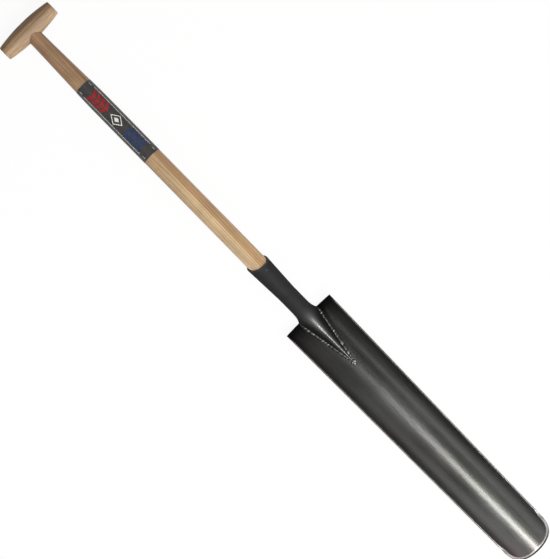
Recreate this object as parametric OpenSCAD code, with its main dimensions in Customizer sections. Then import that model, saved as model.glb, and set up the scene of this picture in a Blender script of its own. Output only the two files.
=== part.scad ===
// Trenching spade, in millimetres, lying on its back with the hollow of the blade upward.
// +X runs along the tool to the tip of the blade, +Y across it, +Z out of the blade's hollow.
// The origin is under the middle of the tool, on the surface that it lies on.
// Inside the modules x is counted from the top edge of the blade, negative towards the grip.

/* [Blade] */
// Length of the blade from its top edge to its tip
blade_l = 600; // [450:5:700]
// Width across the top edge
blade_w = 108; // [96:1:125]
// Width that the straight sides would reach at the tip
blade_tip_w = 94; // [86:1:110]
// Half of the angle that the curved sheet covers
blade_half_angle = 50; // [42:1:58]
// Thickness of the sheet
blade_t = 2.4; // [1.8:0.1:3.2]
// Length of the rounded tip
nose_l = 46; // [36:1:56]
// Width of the ground bevel round the tip
bevel_l = 1.6; // [0.8:0.1:2.4]

/* [Socket] */
// Distance from the blade's top edge to the middle of the slanted mouth
socket_l = 130; // [110:1:160]
// How far the mouth's low side lies below its middle
mouth_rise = 11.7; // [6:0.1:16]
// Turn of the mouth's low side about the shaft
mouth_turn = 14; // [0:1:25]
// Length of the straight neck above the blade
neck_l = 55; // [45:1:70]
// Wall of the socket
socket_wall = 2.4; // [1.8:0.1:3]
// Radial play between the shaft and the socket
socket_gap = 0.25; // [0.1:0.05:0.4]
// Length over which the neck flares out to meet the blade
flare_l = 20; // [14:1:26]
// Length of the back lip that laps onto the blade
lap_l = 6; // [4:1:10]

/* [Tongue] */
// Length of the tongue down the blade
tongue_l = 117; // [95:1:140]
// Width of the tongue at the blade's top edge
tongue_w = 45; // [40:1:50]
// Width of the tongue at its toe
toe_w = 3.4; // [2.6:0.1:5]
// Height of the toe above the blade
toe_h = 2.6; // [2:0.1:4]
// Sharpness of the ridge, from round at 0 to a straight fold at 1
ridge_fold = 0.5; // [0.3:0.05:0.7]
// Where the ridge starts to fall, below the blade's top edge
ridge_start = 2; // [0:0.5:6]
// Length that rounds the ridge's bend
ridge_bend = 5; // [3:0.5:8]
// Length over which the round neck folds into the ridge
fold_l = 30; // [20:1:40]
// Gap between the tongue and the sheet that it stands on
seat_gap = 0.1; // [0.05:0.05:0.2]

/* [Shaft] */
// Diameter of the shaft
shaft_d = 36; // [33:0.5:40]
// Diameter of the shaft where it enters the grip
shaft_top_d = 28.4; // [26:0.2:30]
// Diameter of the shaft's end inside the socket
shaft_foot_d = 30; // [27:0.5:32]
// Length over which the shaft narrows below the grip
shaft_taper_l = 165; // [130:5:200]
// Distance from the blade's top edge to the axis of the grip
grip_reach = 717; // [600:1:900]

/* [Grip] */
// Length of the grip
grip_l = 120; // [105:1:140]
// Diameter of the grip at its middle
grip_d = 37.5; // [35:0.5:40]
// Diameter of the grip at its ends
grip_end_d = 27; // [23:0.5:31]
// Radius of the grip's rounded end edges
grip_edge_r = 2; // [1:0.5:4]
// Distance from the grip's axis to the bottom of the housing that takes the shaft
housing_x = 8; // [6:0.5:11]
// Diameter of the tenon that runs through the grip
tenon_d = 20; // [16:0.5:23]
// Radial play of the tenon and the shaft in the grip
tenon_gap = 0.1; // [0.05:0.05:0.2]

/* [Wedge] */
// Length of the wedge in the tenon
wedge_l = 22; // [16:1:28]
// Thickness of the wedge at its driven end
wedge_t = 2.6; // [2:0.1:3.4]
// Thickness of the wedge at its thin end
wedge_thin_t = 0.8; // [0.6:0.1:1.2]
// Play on each side of the wedge
wedge_gap = 0.05; // [0.02:0.01:0.1]

/* [Label] */
// Distance from the axis of the grip to the label
label_offset = 141; // [120:1:170]
// Length of the label
label_l = 176; // [140:1:200]
// Half of the angle that the label covers round the shaft
label_half_angle = 80; // [60:1:88]
// Thickness of the label
label_t = 0.5; // [0.3:0.1:0.8]
// Gap under the label
label_gap = 0.05; // [0.02:0.01:0.1]

/* [Staples] */
// Length of a staple's crown
staple_crown = 6.4; // [5:0.2:9]
// Depth of a staple's legs under its crown
staple_leg = 9; // [6:0.5:12]
// Width of the staple wire
wire_w = 1.2; // [0.9:0.1:1.5]
// Thickness of the staple wire
wire_t = 0.7; // [0.5:0.1:1]
// Angle of the staples from the middle of the label
staple_angle = 38.5; // [25:0.5:50]
// Distance of the staples from the ends of the label
staple_inset = 7.4; // [5:0.2:12]
// Play round the staple wire
staple_gap = 0.05; // [0.02:0.01:0.1]

/* [Rivet] */
// Diameter of the rivet's shank
rivet_d = 4.5; // [3.5:0.1:5.5]
// Diameter of the rivet's countersunk heads
rivet_head_d = 7.4; // [6:0.1:8.5]
// Distance of the rivet below the low side of the mouth
rivet_drop = 8.2; // [6:0.1:14]
// Radial play round the rivet
rivet_gap = 0.05; // [0.02:0.01:0.1]

/* [Welds] */
// Leg of the fillet welds beside the tongue
weld_w = 3.2; // [2.4:0.1:4.5]
// Spacing of the ripples along the welds
weld_pitch = 7; // [5:0.5:10]
// Share by which a ripple swells the weld
weld_ripple = 0.18; // [0:0.02:0.3]
// Distance from the ends of the side welds to the ends of the tongue
weld_end = 1.5; // [1:0.5:4]
// Gap between a weld and the steel beside it
weld_gap = 0.1; // [0.06:0.01:0.2]
// Radius of the drop of weld at the toe
toe_drop_r = 6.5; // [5:0.5:8]
// Height of the drop of weld at the toe
toe_drop_h = 3.2; // [2:0.1:4]

/* [Hidden] */
$fn = 96;

// Radii of the blade's back at its top edge and at its tip, and the lean of its axis
blade_top_r = blade_w / 2 / sin(blade_half_angle);
blade_tip_r = blade_tip_w / 2 / sin(blade_half_angle);
blade_lean = asin((blade_top_r - blade_tip_r) / blade_l);

// The neck holds the end of the shaft, and the mouth's low side holds its full diameter
neck_r = shaft_foot_d / 2 + socket_gap + socket_wall;
mouth_r = shaft_d / 2 + socket_gap + socket_wall;
mouth_low_x = -(socket_l - mouth_rise);
mouth_high_x = -(socket_l + mouth_rise);
socket_slope = (mouth_r - neck_r) / (-mouth_low_x - neck_l);
// The shaft's axis lies as high as the mouth's back is wide, so the mouth rests beside the blade
axis_z = socket_r(mouth_high_x);
mouth_tilt = atan(mouth_rise / socket_r(-socket_l));

// The ridge of the tongue bends off the neck and runs straight to the toe
ridge_top = axis_z + neck_r;
ridge_slope = (ridge_top - trough_z(tongue_l, 0) - toe_h) / (tongue_l - ridge_start);
fold_start = -fold_l / 6;

// Rings and columns of the flared neck and the tongue, with the feet of the tongue at foot_angle
columns = 36;
foot_angle = 120;
flare_rings = 6;
tongue_rings = 14;
neck_overlap = flare_l / 10;
neck_inset = socket_wall / 40;

// Steps of the curves that are turned
taper_steps = 12;
grip_steps = 20;
edge_steps = 4;
nose_steps = 12;

// The grip and the shaft meet at grip_front_x, and the shaft's shoulder sits at shoulder_x
grip_front_x = -grip_reach + grip_d / 2;
shoulder_x = -grip_reach + housing_x;
taper_end_x = grip_front_x + shaft_taper_l;
label_x = -grip_reach + label_offset;
rivet_x = mouth_low_x + rivet_drop;
rivet_head_h = socket_wall * 2 / 3;
rivet_top = socket_r(rivet_x) - pow(rivet_head_d / 2, 2) / (2 * socket_r(rivet_x));
// How far cutting shapes run past the solids that they cut
beyond = grip_d;
overcut = wedge_t;

// The middle of the whole tool goes to the origin
middle_x = (blade_l - grip_reach - grip_d / 2) / 2;

// Stations of the shaft as [x, radius], from the shoulder in the grip to the end in the socket
shaft_line = concat(
    [[shoulder_x, shaft_top_d / 2]],
    [for (i = [0:taper_steps]) [
        grip_front_x + shaft_taper_l * i / taper_steps,
        shaft_top_d / 2 + (shaft_d - shaft_top_d) / 2 * taper_ease(i / taper_steps)
    ]],
    [[mouth_low_x, shaft_d / 2], [-neck_l, shaft_foot_d / 2]]
);

// Half straight and half eased, so the taper leaves the grip gently and runs out into the shaft
function taper_ease(t) = (t + t * t * (3 - 2 * t)) / 2;

function shaft_r(x) = lookup(x, shaft_line);

// Outside radius of the socket
function socket_r(x) = neck_r + socket_slope * max(0, -x - neck_l);

function blade_r(x) = blade_top_r + (blade_tip_r - blade_top_r) * x / blade_l;

// Height of the blade's hollow face
function trough_z(x, y) = blade_r(x) - sqrt(pow(blade_r(x) - blade_t, 2) - y * y);

function clamp(v) = min(1, max(0, v));

function smooth(v) = clamp(v) * clamp(v) * (3 - 2 * clamp(v));

// Height of the tongue's ridge: level along the neck, then a bend into a straight fall
function ridge_z(x) = ridge_top - ridge_slope * ridge_bend * ln(1 + exp((x - ridge_start) / ridge_bend));

// Half width of the tongue's feet
function foot_y(x) = (tongue_w + (toe_w - tongue_w) * max(0, x) / tongue_l) / 2;

function fold(x) = ridge_fold * smooth((x - fold_start) / fold_l);

// Across and up the tongue's arch, for u from -1 at one foot over 0 at the ridge to 1 at the other
function arch_across(x, u) = (1 - fold(x)) * sin(90 * u) + fold(x) * u;
function arch_up(x, u) = (1 - fold(x)) * cos(90 * u) + fold(x) * (1 - abs(u));

// How far the inner face lies inside the outer one, less where the tongue closes at its toe
function side_wall(x) = min(socket_wall * 1.15, foot_y(x) * 0.7);
function ridge_wall(x) = min(socket_wall * 1.2, (ridge_z(x) - trough_z(max(0, x), 0)) * 0.6);

// One point of the tongue's arch as [y, z]
function arch_point(x, u, inner) =
    let (
        blade_x = max(0, x),
        half = foot_y(x) - (inner ? side_wall(x) : 0),
        lift = inner && x <= lap_l ? socket_wall : 0,
        foot_z = trough_z(blade_x, half) + seat_gap + lift,
        top_z = ridge_z(x) - (inner ? ridge_wall(x) : 0)
    )
    [half * arch_across(x, u), foot_z + (top_z - foot_z) * arch_up(x, u)];

// One point of the neck's back, which lies along the blade's hollow
function back_point(x, angle, inner) =
    let (
        half = foot_y(x) - (inner ? side_wall(x) : 0),
        y = sign(angle) * half * (180 - abs(angle)) / (180 - foot_angle)
    )
    [y, trough_z(max(0, x), y) + seat_gap + (inner ? socket_wall : 0)];

// One point of the neck where it is still round
function neck_point(angle, inner) =
    let (r = inner ? neck_r - socket_wall + 2.5 * neck_inset : neck_r - neck_inset)
    [r * sin(angle), axis_z + r * cos(angle)];

// A point of the flared neck and the tongue, round at the neck and footed on the blade below it
function tongue_point(x, angle, inner) =
    let (
        flare = pow(clamp((x + flare_l) / flare_l), 2),
        footed = abs(angle) <= foot_angle
            ? arch_point(x, angle / foot_angle, inner)
            : back_point(x, angle, inner),
        p = (1 - flare) * neck_point(angle, inner) + flare * footed
    )
    [x, p[0], p[1]];

// Stations of the flared neck and the tongue; the back ends at the lip, the front goes on to the toe
flare_x = [for (i = [0:flare_rings]) -flare_l * (1 - i / flare_rings)];
tongue_x = [for (i = [1:tongue_rings]) lap_l + (tongue_l - lap_l) * i / tongue_rings];
ring_x = concat([-flare_l - neck_overlap], flare_x, [lap_l], tongue_x);
lip_ring = flare_rings + 2;
last_ring = len(ring_x) - 1;
first_column = round((180 - foot_angle) / 360 * columns);
last_column = columns - first_column;

function column_angle(j) = -180 + 360 * j / columns;

// Moves a piece from the blade's top edge to the middle of the tool
module placed() {
    translate([-middle_x, 0, 0])
        children();
}

// Lays a turned shape, whose axis is +Z, along the shaft's axis
module along_shaft() {
    translate([0, 0, axis_z])
        rotate([0, 90, 0])
            children();
}

// Lays a shape of the blade, whose axis is +Z, so that the blade's back lies on the ground
module along_blade() {
    rotate([0, blade_lean, 0])
        translate([0, 0, blade_top_r])
            rotate([0, 90, 0])
                children();
}

// The barrel shape of the grip, with its rounded end edges
module grip_form() {
    half = grip_l / 2;
    sag = (grip_d - grip_end_d) / 2;
    barrel = [for (i = [0:grip_steps])
        let (y = (half - grip_edge_r) * (2 * i / grip_steps - 1))
        [grip_d / 2 - sag * pow(y / half, 2), y]
    ];
    edge_r = barrel[0][0] - grip_edge_r;
    edge = [for (i = [1:edge_steps])
        let (a = 90 * i / edge_steps)
        [edge_r + grip_edge_r * cos(a), half - grip_edge_r + grip_edge_r * sin(a)]
    ];
    low_edge = [for (i = [edge_steps - 1:-1:0]) [edge[i][0], -edge[i][1]]];
    translate([-grip_reach, 0, axis_z])
        rotate([90, 0, 0])
            rotate_extrude()
                polygon(concat([[0, -half]], low_edge, barrel, edge, [[0, half]]));
}

// A round bar along the shaft's axis, from one x to another
module bar(from_x, to_x, d) {
    translate([from_x, 0, axis_z])
        rotate([0, 90, 0])
            cylinder(d = d, h = to_x - from_x);
}

// The wedge's taper, with play on both sides
module wedge_form(gap) {
    start = -grip_reach - grip_d / 2;
    thick = wedge_t / 2 + gap;
    thin = wedge_thin_t / 2 + gap;
    translate([start, 0, axis_z - tenon_d])
        linear_extrude(2 * tenon_d)
            polygon([[-overcut, -thick], [wedge_l + gap, -thin], [wedge_l + gap, thin], [-overcut, thick]]);
}

// A staple's legs and crown in its own place, with play round the wire
module staple_wire(gap, crown) {
    outside = staple_crown / 2 + gap;
    inside = staple_crown / 2 - wire_t - gap;
    top = crown ? wire_t : 0;
    translate([0, wire_w / 2 + gap, 0])
        rotate([90, 0, 0])
            linear_extrude(wire_w + 2 * gap)
                union() {
                    for (side = [-1, 1])
                        translate([side > 0 ? inside : -outside, -staple_leg - gap])
                            square([outside - inside, staple_leg + gap + top]);
                    if (crown)
                        translate([-outside, 0])
                            square([2 * outside, top]);
                }
}

// The staples at the label's corners: whole, or as the holes that their legs make
module staples(gap, crown) {
    for (x = [label_x + staple_inset, label_x + label_l - staple_inset])
        for (side = [-1, 1])
            let (seat = shaft_r(x + staple_crown / 2) + 2 * label_gap + label_t)
            translate([x, 0, axis_z])
                rotate([-side * staple_angle, 0, 0])
                    translate([0, 0, seat])
                        staple_wire(gap, crown);
}

// The rivet about the shaft's axis, with play round it and its heads run out by extra
module rivet_form(gap, extra) {
    shank_r = rivet_d / 2 + gap;
    head_r = rivet_head_d / 2 + gap;
    flare = (head_r - shank_r) / rivet_head_h;
    translate([rivet_x, 0, axis_z])
        rotate([-mouth_turn, 0, 0])
            rotate_extrude()
                polygon([
                    [0, -rivet_top - extra],
                    [head_r + flare * extra, -rivet_top - extra],
                    [shank_r, -rivet_top + rivet_head_h],
                    [shank_r, rivet_top - rivet_head_h],
                    [head_r + flare * extra, rivet_top + extra],
                    [0, rivet_top + extra]
                ]);
}

module t_grip() {
    color("#d0ac80")
        placed()
            difference() {
                grip_form();
                bar(-grip_reach - grip_d, shoulder_x, tenon_d + 2 * tenon_gap);
                bar(shoulder_x - tenon_gap, grip_front_x + overcut, shaft_top_d + 2 * tenon_gap);
            }
}

module shaft() {
    color("#c9a678")
        placed()
            difference() {
                union() {
                    along_shaft()
                        rotate_extrude()
                            polygon(concat(
                                [[0, shoulder_x]],
                                [for (p = shaft_line) [p[1], p[0]]],
                                [[0, -neck_l]]
                            ));
                    intersection() {
                        bar(-grip_reach - grip_d, shoulder_x + overcut, tenon_d);
                        grip_form();
                    }
                }
                wedge_form(wedge_gap);
                staples(staple_gap, false);
                rivet_hole();
            }
}

// The hole that the rivet's shank makes through the shaft
module rivet_hole() {
    translate([rivet_x, 0, axis_z])
        rotate([-mouth_turn, 0, 0])
            cylinder(d = rivet_d + 2 * rivet_gap, h = 2 * shaft_d, center = true);
}

module tenon_wedge() {
    color("#b98f5f")
        placed()
            intersection() {
                wedge_form(0);
                bar(-grip_reach - grip_d, shoulder_x, tenon_d);
                grip_form();
            }
}

module label_plate() {
    label_end = label_x + label_l;
    stations = concat(
        [label_x],
        [for (p = shaft_line) if (p[0] > label_x && p[0] < label_end) p[0]],
        [label_end]
    );
    last = len(stations) - 1;
    under = [for (x = stations) [shaft_r(x) + label_gap, x]];
    over = [for (i = [last:-1:0]) under[i] + [label_t, 0]];
    color("#3b3a39")
        placed()
            difference() {
                along_shaft()
                    rotate([0, 0, 180 - label_half_angle])
                        rotate_extrude(angle = 2 * label_half_angle)
                            polygon(concat(under, over));
                staples(staple_gap, false);
            }
}

module label_staples() {
    color("#c8c9ca")
        placed()
            staples(0, true);
}

// The turned part of the socket, from its mouth to the start of the flare
module socket_tube() {
    top_x = mouth_high_x - beyond / 2;
    along_shaft()
        rotate_extrude()
            polygon([
                [socket_r(top_x) - socket_wall, top_x],
                [socket_r(top_x), top_x],
                [neck_r, -neck_l],
                [neck_r, -flare_l],
                [neck_r - socket_wall, -flare_l],
                [neck_r - socket_wall, -neck_l]
            ]);
}

// The flared neck and the tongue as one folded sheet: outer face, inner face and their edges
module socket_tongue() {
    count = len(ring_x) * columns;
    points = [for (inner = [false, true]) for (x = ring_x) for (j = [0:columns - 1])
        tongue_point(x, column_angle(j), inner)
    ];
    outer = function(i, j) i * columns + (j % columns);
    inner = function(i, j) count + outer(i, j);
    in_front = function(j) j >= first_column && j < last_column;
    skin = [for (i = [0:last_ring - 1]) for (j = [0:columns - 1])
        if (i < lip_ring || in_front(j))
            for (face = [
                [outer(i, j), outer(i, j + 1), outer(i + 1, j + 1)],
                [outer(i, j), outer(i + 1, j + 1), outer(i + 1, j)],
                [inner(i, j), inner(i + 1, j + 1), inner(i, j + 1)],
                [inner(i, j), inner(i + 1, j), inner(i + 1, j + 1)]
            ]) face
    ];
    start = [for (j = [0:columns - 1])
        for (face = [
            [outer(0, j + 1), outer(0, j), inner(0, j)],
            [outer(0, j + 1), inner(0, j), inner(0, j + 1)]
        ]) face
    ];
    ends = [for (j = [0:columns - 1])
        let (i = in_front(j) ? last_ring : lip_ring)
        for (face = [
            [outer(i, j), outer(i, j + 1), inner(i, j + 1)],
            [outer(i, j), inner(i, j + 1), inner(i, j)]
        ]) face
    ];
    feet = [for (i = [lip_ring:last_ring - 1])
        let (a = first_column, b = last_column)
        for (face = [
            [outer(i, a), outer(i + 1, a), inner(i + 1, a)],
            [outer(i, a), inner(i + 1, a), inner(i, a)],
            [outer(i + 1, b), outer(i, b), inner(i, b)],
            [outer(i + 1, b), inner(i, b), inner(i + 1, b)]
        ]) face
    ];
    polyhedron(points, concat(skin, start, ends, feet));
}

module socket() {
    cut = 4 * shaft_d;
    color("#3a3a3a")
        placed()
            union() {
                difference() {
                    socket_tube();
                    translate([-socket_l, 0, axis_z])
                        rotate([-mouth_turn, 0, 0])
                            rotate([0, mouth_tilt, 0])
                                translate([-cut, -cut / 2, -cut / 2])
                                    cube(cut);
                    rivet_form(rivet_gap, socket_wall);
                }
                socket_tongue();
            }
}

module socket_rivet() {
    color("#45474b")
        placed()
            rivet_form(0, 0);
}

// What is cut away beyond the rounded tip: a wall square to the sheet, leaning back by the bevel
module nose_cut() {
    overrun = 0.15;
    low_r = blade_tip_r - blade_t - beyond / 3;
    high_r = blade_top_r + beyond / 3;
    lean = bevel_l / blade_t;
    stations = [for (j = [-nose_steps:nose_steps])
        let (
            turn = 90 * j / nose_steps,
            angle = (blade_half_angle + overrun) * sin(turn),
            along = blade_l - nose_l * (1 - cos(turn)),
            slant = lean * cos(turn)
        )
        for (p = [
            [low_r, along - slant * (blade_tip_r - low_r)],
            [high_r, along + slant * (high_r - blade_tip_r)],
            [high_r, blade_l + 2 * beyond],
            [low_r, blade_l + 2 * beyond]
        ]) [p[0] * cos(angle), p[0] * sin(angle), p[1]]
    ];
    last = 2 * nose_steps;
    sides = [for (j = [0:last - 1]) for (k = [0:3])
        let (a = 4 * j + k, b = 4 * j + (k + 1) % 4)
        for (face = [[a, b, b + 4], [a, b + 4, a + 4]]) face
    ];
    caps = [
        [0, 3, 2], [0, 2, 1],
        [4 * last, 4 * last + 1, 4 * last + 2], [4 * last, 4 * last + 2, 4 * last + 3]
    ];
    polyhedron(stations, concat(sides, caps));
}

module blade() {
    color("#565655")
        placed()
            along_blade()
                difference() {
                    rotate([0, 0, -blade_half_angle])
                        rotate_extrude(angle = 2 * blade_half_angle)
                            polygon([
                                [blade_top_r - blade_t, 0],
                                [blade_top_r, 0],
                                [blade_tip_r, blade_l],
                                [blade_tip_r - blade_t, blade_l]
                            ]);
                    nose_cut();
                }
}

// One ring of a side weld as [x, y, z]: corner, flank, three points of the bulge, sheet
function weld_ring(x, size) =
    let (
        foot = foot_y(x),
        low_z = trough_z(x, foot) + seat_gap,
        rise = ridge_z(x) - low_z,
        leg = min(size, 0.6 * rise),
        steep = (1 - fold(x)) * PI / 2 + fold(x),
        u = 1 - leg / (rise * steep),
        flank = [foot * arch_across(x, u) + weld_gap, low_z + rise * arch_up(x, u)],
        corner = [foot + weld_gap, trough_z(x, foot + weld_gap) + weld_gap],
        edge = [foot + size, trough_z(x, foot + size) + weld_gap],
        pull = [foot + 0.85 * size, flank[1] + 0.1 * size],
        bulge = [for (t = [0.25, 0.5, 0.75])
            (1 - t) * (1 - t) * flank + 2 * t * (1 - t) * pull + t * t * edge
        ]
    )
    [for (p = concat([corner, flank], bulge, [edge])) [x, p[0], p[1]]];

// A rippled weld along one side of the tongue, thinner at both ends
module side_weld(side) {
    start = weld_end;
    end = tongue_l - weld_end;
    steps = 4 * round((end - start) / weld_pitch);
    sides = 6;
    ring = function(i)
        let (
            t = i / steps,
            swell = 1 + weld_ripple * sin(360 * i / 4 + 20),
            taper = 0.55 + 0.45 * smooth(6 * min(t, 1 - t))
        )
        weld_ring(start + (end - start) * t, weld_w * swell * taper);
    points = [for (i = [0:steps]) for (p = ring(i)) [p[0], side * p[1], p[2]]];
    last = steps * sides;
    skin = [for (i = [0:steps - 1]) for (k = [0:sides - 1])
        let (a = i * sides + k, b = i * sides + (k + 1) % sides)
        for (face = [[a, a + sides, b + sides], [a, b + sides, b]]) face
    ];
    caps = [for (k = [1:sides - 2])
        for (face = [[0, k, k + 1], [last, last + k + 1, last + k]]) face
    ];
    faces = concat(skin, caps);
    polyhedron(points, side > 0 ? faces : [for (f = faces) [f[0], f[2], f[1]]]);
}

module weld_left() {
    color("#6a6a69")
        placed()
            side_weld(-1);
}

module weld_right() {
    color("#6a6a69")
        placed()
            side_weld(1);
}

// The drop of weld on the blade at the toe of the tongue
module weld_toe() {
    toe_x = tongue_l + weld_gap;
    centre_z = trough_z(tongue_l, 0) + toe_drop_h - toe_drop_r;
    color("#777776")
        placed()
            intersection() {
                translate([tongue_l + toe_drop_r / 2, 0, centre_z])
                    sphere(r = toe_drop_r, $fn = 240);
                translate([toe_x, -beyond, -beyond])
                    cube(2 * beyond);
                along_blade()
                    cylinder(
                        r1 = blade_top_r - blade_t - weld_gap,
                        r2 = blade_tip_r - blade_t - weld_gap,
                        h = blade_l,
                        $fn = 240
                    );
            }
}

// The weld behind the neck, along the blade's top edge
module weld_back() {
    steps = 12;
    half = tongue_w / 3;
    back_z = function(y) blade_top_r - sqrt(pow(blade_top_r, 2) - y * y);
    ring = function(y, size)
        let (low_z = back_z(y) + blade_t / 5, high_z = trough_z(0, y) - weld_gap / 2)
        [
            [-weld_gap, y, low_z],
            [-weld_gap, y, high_z],
            [-size, y, high_z],
            [-0.75 * size, y, (low_z + high_z) / 2]
        ];
    points = [for (i = [0:steps])
        let (t = 2 * i / steps - 1)
        for (p = ring(half * t, weld_w * (1 - 0.6 * pow(t, 4)))) p
    ];
    last = steps * 4;
    skin = [for (i = [0:steps - 1]) for (k = [0:3])
        let (a = i * 4 + k, b = i * 4 + (k + 1) % 4)
        for (face = [[a, b, b + 4], [a, b + 4, a + 4]]) face
    ];
    caps = [[0, 3, 2], [0, 2, 1], [last, last + 1, last + 2], [last, last + 2, last + 3]];
    color("#6a6a69")
        placed()
            polyhedron(points, concat(skin, caps));
}

t_grip();
shaft();
tenon_wedge();
label_plate();
label_staples();
socket();
socket_rivet();
blade();
weld_left();
weld_right();
weld_toe();
weld_back();
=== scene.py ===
"""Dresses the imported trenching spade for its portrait: wood, label, steel and welds.

Lengths are in millimetres, with x counted from the blade's top edge and negative towards the grip, until a
piece is made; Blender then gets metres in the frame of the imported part.
"""

from __future__ import annotations

import logging
import math
from dataclasses import dataclass
from enum import Enum
from functools import partial
from typing import Any, Callable, Iterable, Sequence

import bmesh
import bpy
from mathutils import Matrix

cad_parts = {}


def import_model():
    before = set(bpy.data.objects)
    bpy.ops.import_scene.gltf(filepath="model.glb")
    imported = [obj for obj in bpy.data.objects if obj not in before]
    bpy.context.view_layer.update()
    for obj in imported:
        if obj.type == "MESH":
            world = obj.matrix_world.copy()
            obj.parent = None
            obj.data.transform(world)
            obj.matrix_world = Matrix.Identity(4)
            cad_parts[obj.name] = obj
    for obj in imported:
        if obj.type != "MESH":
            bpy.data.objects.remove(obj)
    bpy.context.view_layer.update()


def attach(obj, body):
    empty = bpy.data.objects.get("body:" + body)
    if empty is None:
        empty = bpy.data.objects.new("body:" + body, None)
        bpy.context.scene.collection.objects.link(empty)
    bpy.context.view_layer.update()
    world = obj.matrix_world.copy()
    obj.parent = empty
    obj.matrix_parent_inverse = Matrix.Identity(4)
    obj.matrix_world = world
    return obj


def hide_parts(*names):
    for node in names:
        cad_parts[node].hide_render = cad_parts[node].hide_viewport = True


LOG = logging.getLogger("trenching_spade")
Point = tuple[float, float, float]
Flat = tuple[float, float]
Levels = tuple[float, float, float, float]
# One millimetre in Blender's metres.
MM = 0.001


class Slot(Enum):
    """The record's material slots."""

    GRIP = "grip_wood"
    SHAFT = "shaft_wood"
    WEDGE = "wedge_wood"
    FILM = "label_film"
    WIRE = "staple_wire"
    SOCKET = "socket_steel"
    RIVET = "rivet_steel"
    BLADE = "blade_steel"
    WELD = "weld_steel"


class Grain(Enum):
    """Which way the fibres of a piece of wood run, as the turn in degrees that lays them along X."""

    ALONG_SHAFT = 0.0
    ALONG_GRIP = -90.0


class Side(Enum):
    """The two sides of the tongue, seen with the grip up."""

    LEFT = -1.0
    RIGHT = 1.0


class Ink(Enum):
    """The label's colours, numbered as its materials are."""

    CHARCOAL = 0
    RED = 1
    NAVY = 2
    WHITE = 3


def linear(colour: str) -> Levels:
    """Turns an sRGB hex colour into linear light.

    Args:
        colour: The colour as #rrggbb.

    Returns:
        Red, green, blue and a full alpha.
    """
    shares = [int(colour[i:i + 2], 16) / 255.0 for i in (1, 3, 5)]
    light = [v / 12.92 if v <= 0.04045 else ((v + 0.055) / 1.055) ** 2.4 for v in shares]
    return (light[0], light[1], light[2], 1.0)


def clamp(v: float) -> float:
    """Holds a share between 0 and 1."""
    return min(1.0, max(0.0, v))


def smooth(v: float) -> float:
    """Eases a share from 0 to 1, held at both ends."""
    t = clamp(v)
    return t * t * (3.0 - 2.0 * t)


def scatter(index: int) -> float:
    """Gives a fixed, even-looking spread of values from 0 to 1."""
    return (math.sin(index * 12.9898 + 4.1) * 43758.5453) % 1.0


def span(start: float, end: float, count: int) -> list[float]:
    """Evenly spaced values from start to end, both kept."""
    return [start + (end - start) * i / (count - 1) for i in range(count)]


def full_turn(count: int) -> list[float]:
    """Angles in radians of an even round of points."""
    return [2.0 * math.pi * i / count for i in range(count)]


def bow(start: Flat, pull: Flat, end: Flat, count: int) -> list[Flat]:
    """Follows a curve that is drawn towards a point.

    Args:
        start: Where it starts.
        pull: The point that it is drawn towards.
        end: Where it ends.
        count: Number of points.

    Returns:
        The points, both ends kept.
    """
    points: list[Flat] = []
    for t in span(0.0, 1.0, count):
        a, b, c = (1.0 - t) ** 2, 2.0 * t * (1.0 - t), t * t
        points.append((a * start[0] + b * pull[0] + c * end[0], a * start[1] + b * pull[1] + c * end[1]))
    return points


def in_scene(name: str, data: bpy.types.ID) -> bpy.types.Object:
    """Puts a mesh, a lamp or a camera into the scene.

    Args:
        name: The object's name.
        data: What it holds.

    Returns:
        The object.
    """
    made = bpy.data.objects.new(name, data)
    bpy.context.scene.collection.objects.link(made)
    return made


def add(
    tree: bpy.types.NodeTree,
    kind: str,
    settings: dict[Any, Any] | None = None,
    links: dict[Any, bpy.types.NodeSocket] | None = None,
) -> Any:
    """Adds a shader node with its settings and links.

    Args:
        tree: The node tree that gets the node.
        kind: Blender's name of the node, without the ShaderNode that it starts with.
        settings: Properties and input values; "stops" are the places and hex colours of a ramp, and "levels"
            the two ends of the range that comes in and of the range that goes out.
        links: Inputs and the outputs that feed them.

    Returns:
        The outputs of the new node.
    """
    made = tree.nodes.new("ShaderNode" + kind)
    for key, value in (settings or {}).items():
        if key == "stops":
            ramp = made.color_ramp
            while len(ramp.elements) < len(value):
                ramp.elements.new(1.0)
            for element, (place, colour) in zip(ramp.elements, value):
                element.position = place
                element.color = linear(colour)
        elif key == "levels":
            for number, level in enumerate(value, 1):
                made.inputs[number].default_value = level
        elif isinstance(key, str) and hasattr(made, key):
            setattr(made, key, value)
        else:
            made.inputs[key].default_value = value
    for key, source in (links or {}).items():
        tree.links.new(source, made.inputs[key])
    return made.outputs


def empty_material(name: str) -> tuple[bpy.types.Material, bpy.types.NodeTree]:
    """Makes a material that has no nodes yet.

    Args:
        name: The material's name.

    Returns:
        The material and its node tree.
    """
    material = bpy.data.materials.new(name)
    material.use_nodes = True
    material.node_tree.nodes.clear()
    return material, material.node_tree


@dataclass(frozen=True)
class Marks:
    """Marks all over a surface: how long and wide they are, how finely they break up and how they wander."""

    length_mm: float
    width_mm: float
    detail: float = 2.0
    rough: float = 0.5
    wander: float = 0.0

    def lay(self, tree: bpy.types.NodeTree, place: bpy.types.NodeSocket) -> bpy.types.NodeSocket:
        """Draws the marks, long along X.

        Args:
            tree: The material's node tree.
            place: Place on the piece.

        Returns:
            How strong the marks are there, from 0 to 1.
        """
        along, across = 1.0 / (self.length_mm * MM), 1.0 / (self.width_mm * MM)
        drawn = add(tree, "Mapping", {"Scale": (along, across, across)}, {"Vector": place})[0]
        look = {"Scale": 1.0, "Detail": self.detail, "Roughness": self.rough, "Distortion": self.wander}
        return add(tree, "TexNoise", look, {"Vector": drawn})["Fac"]


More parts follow.
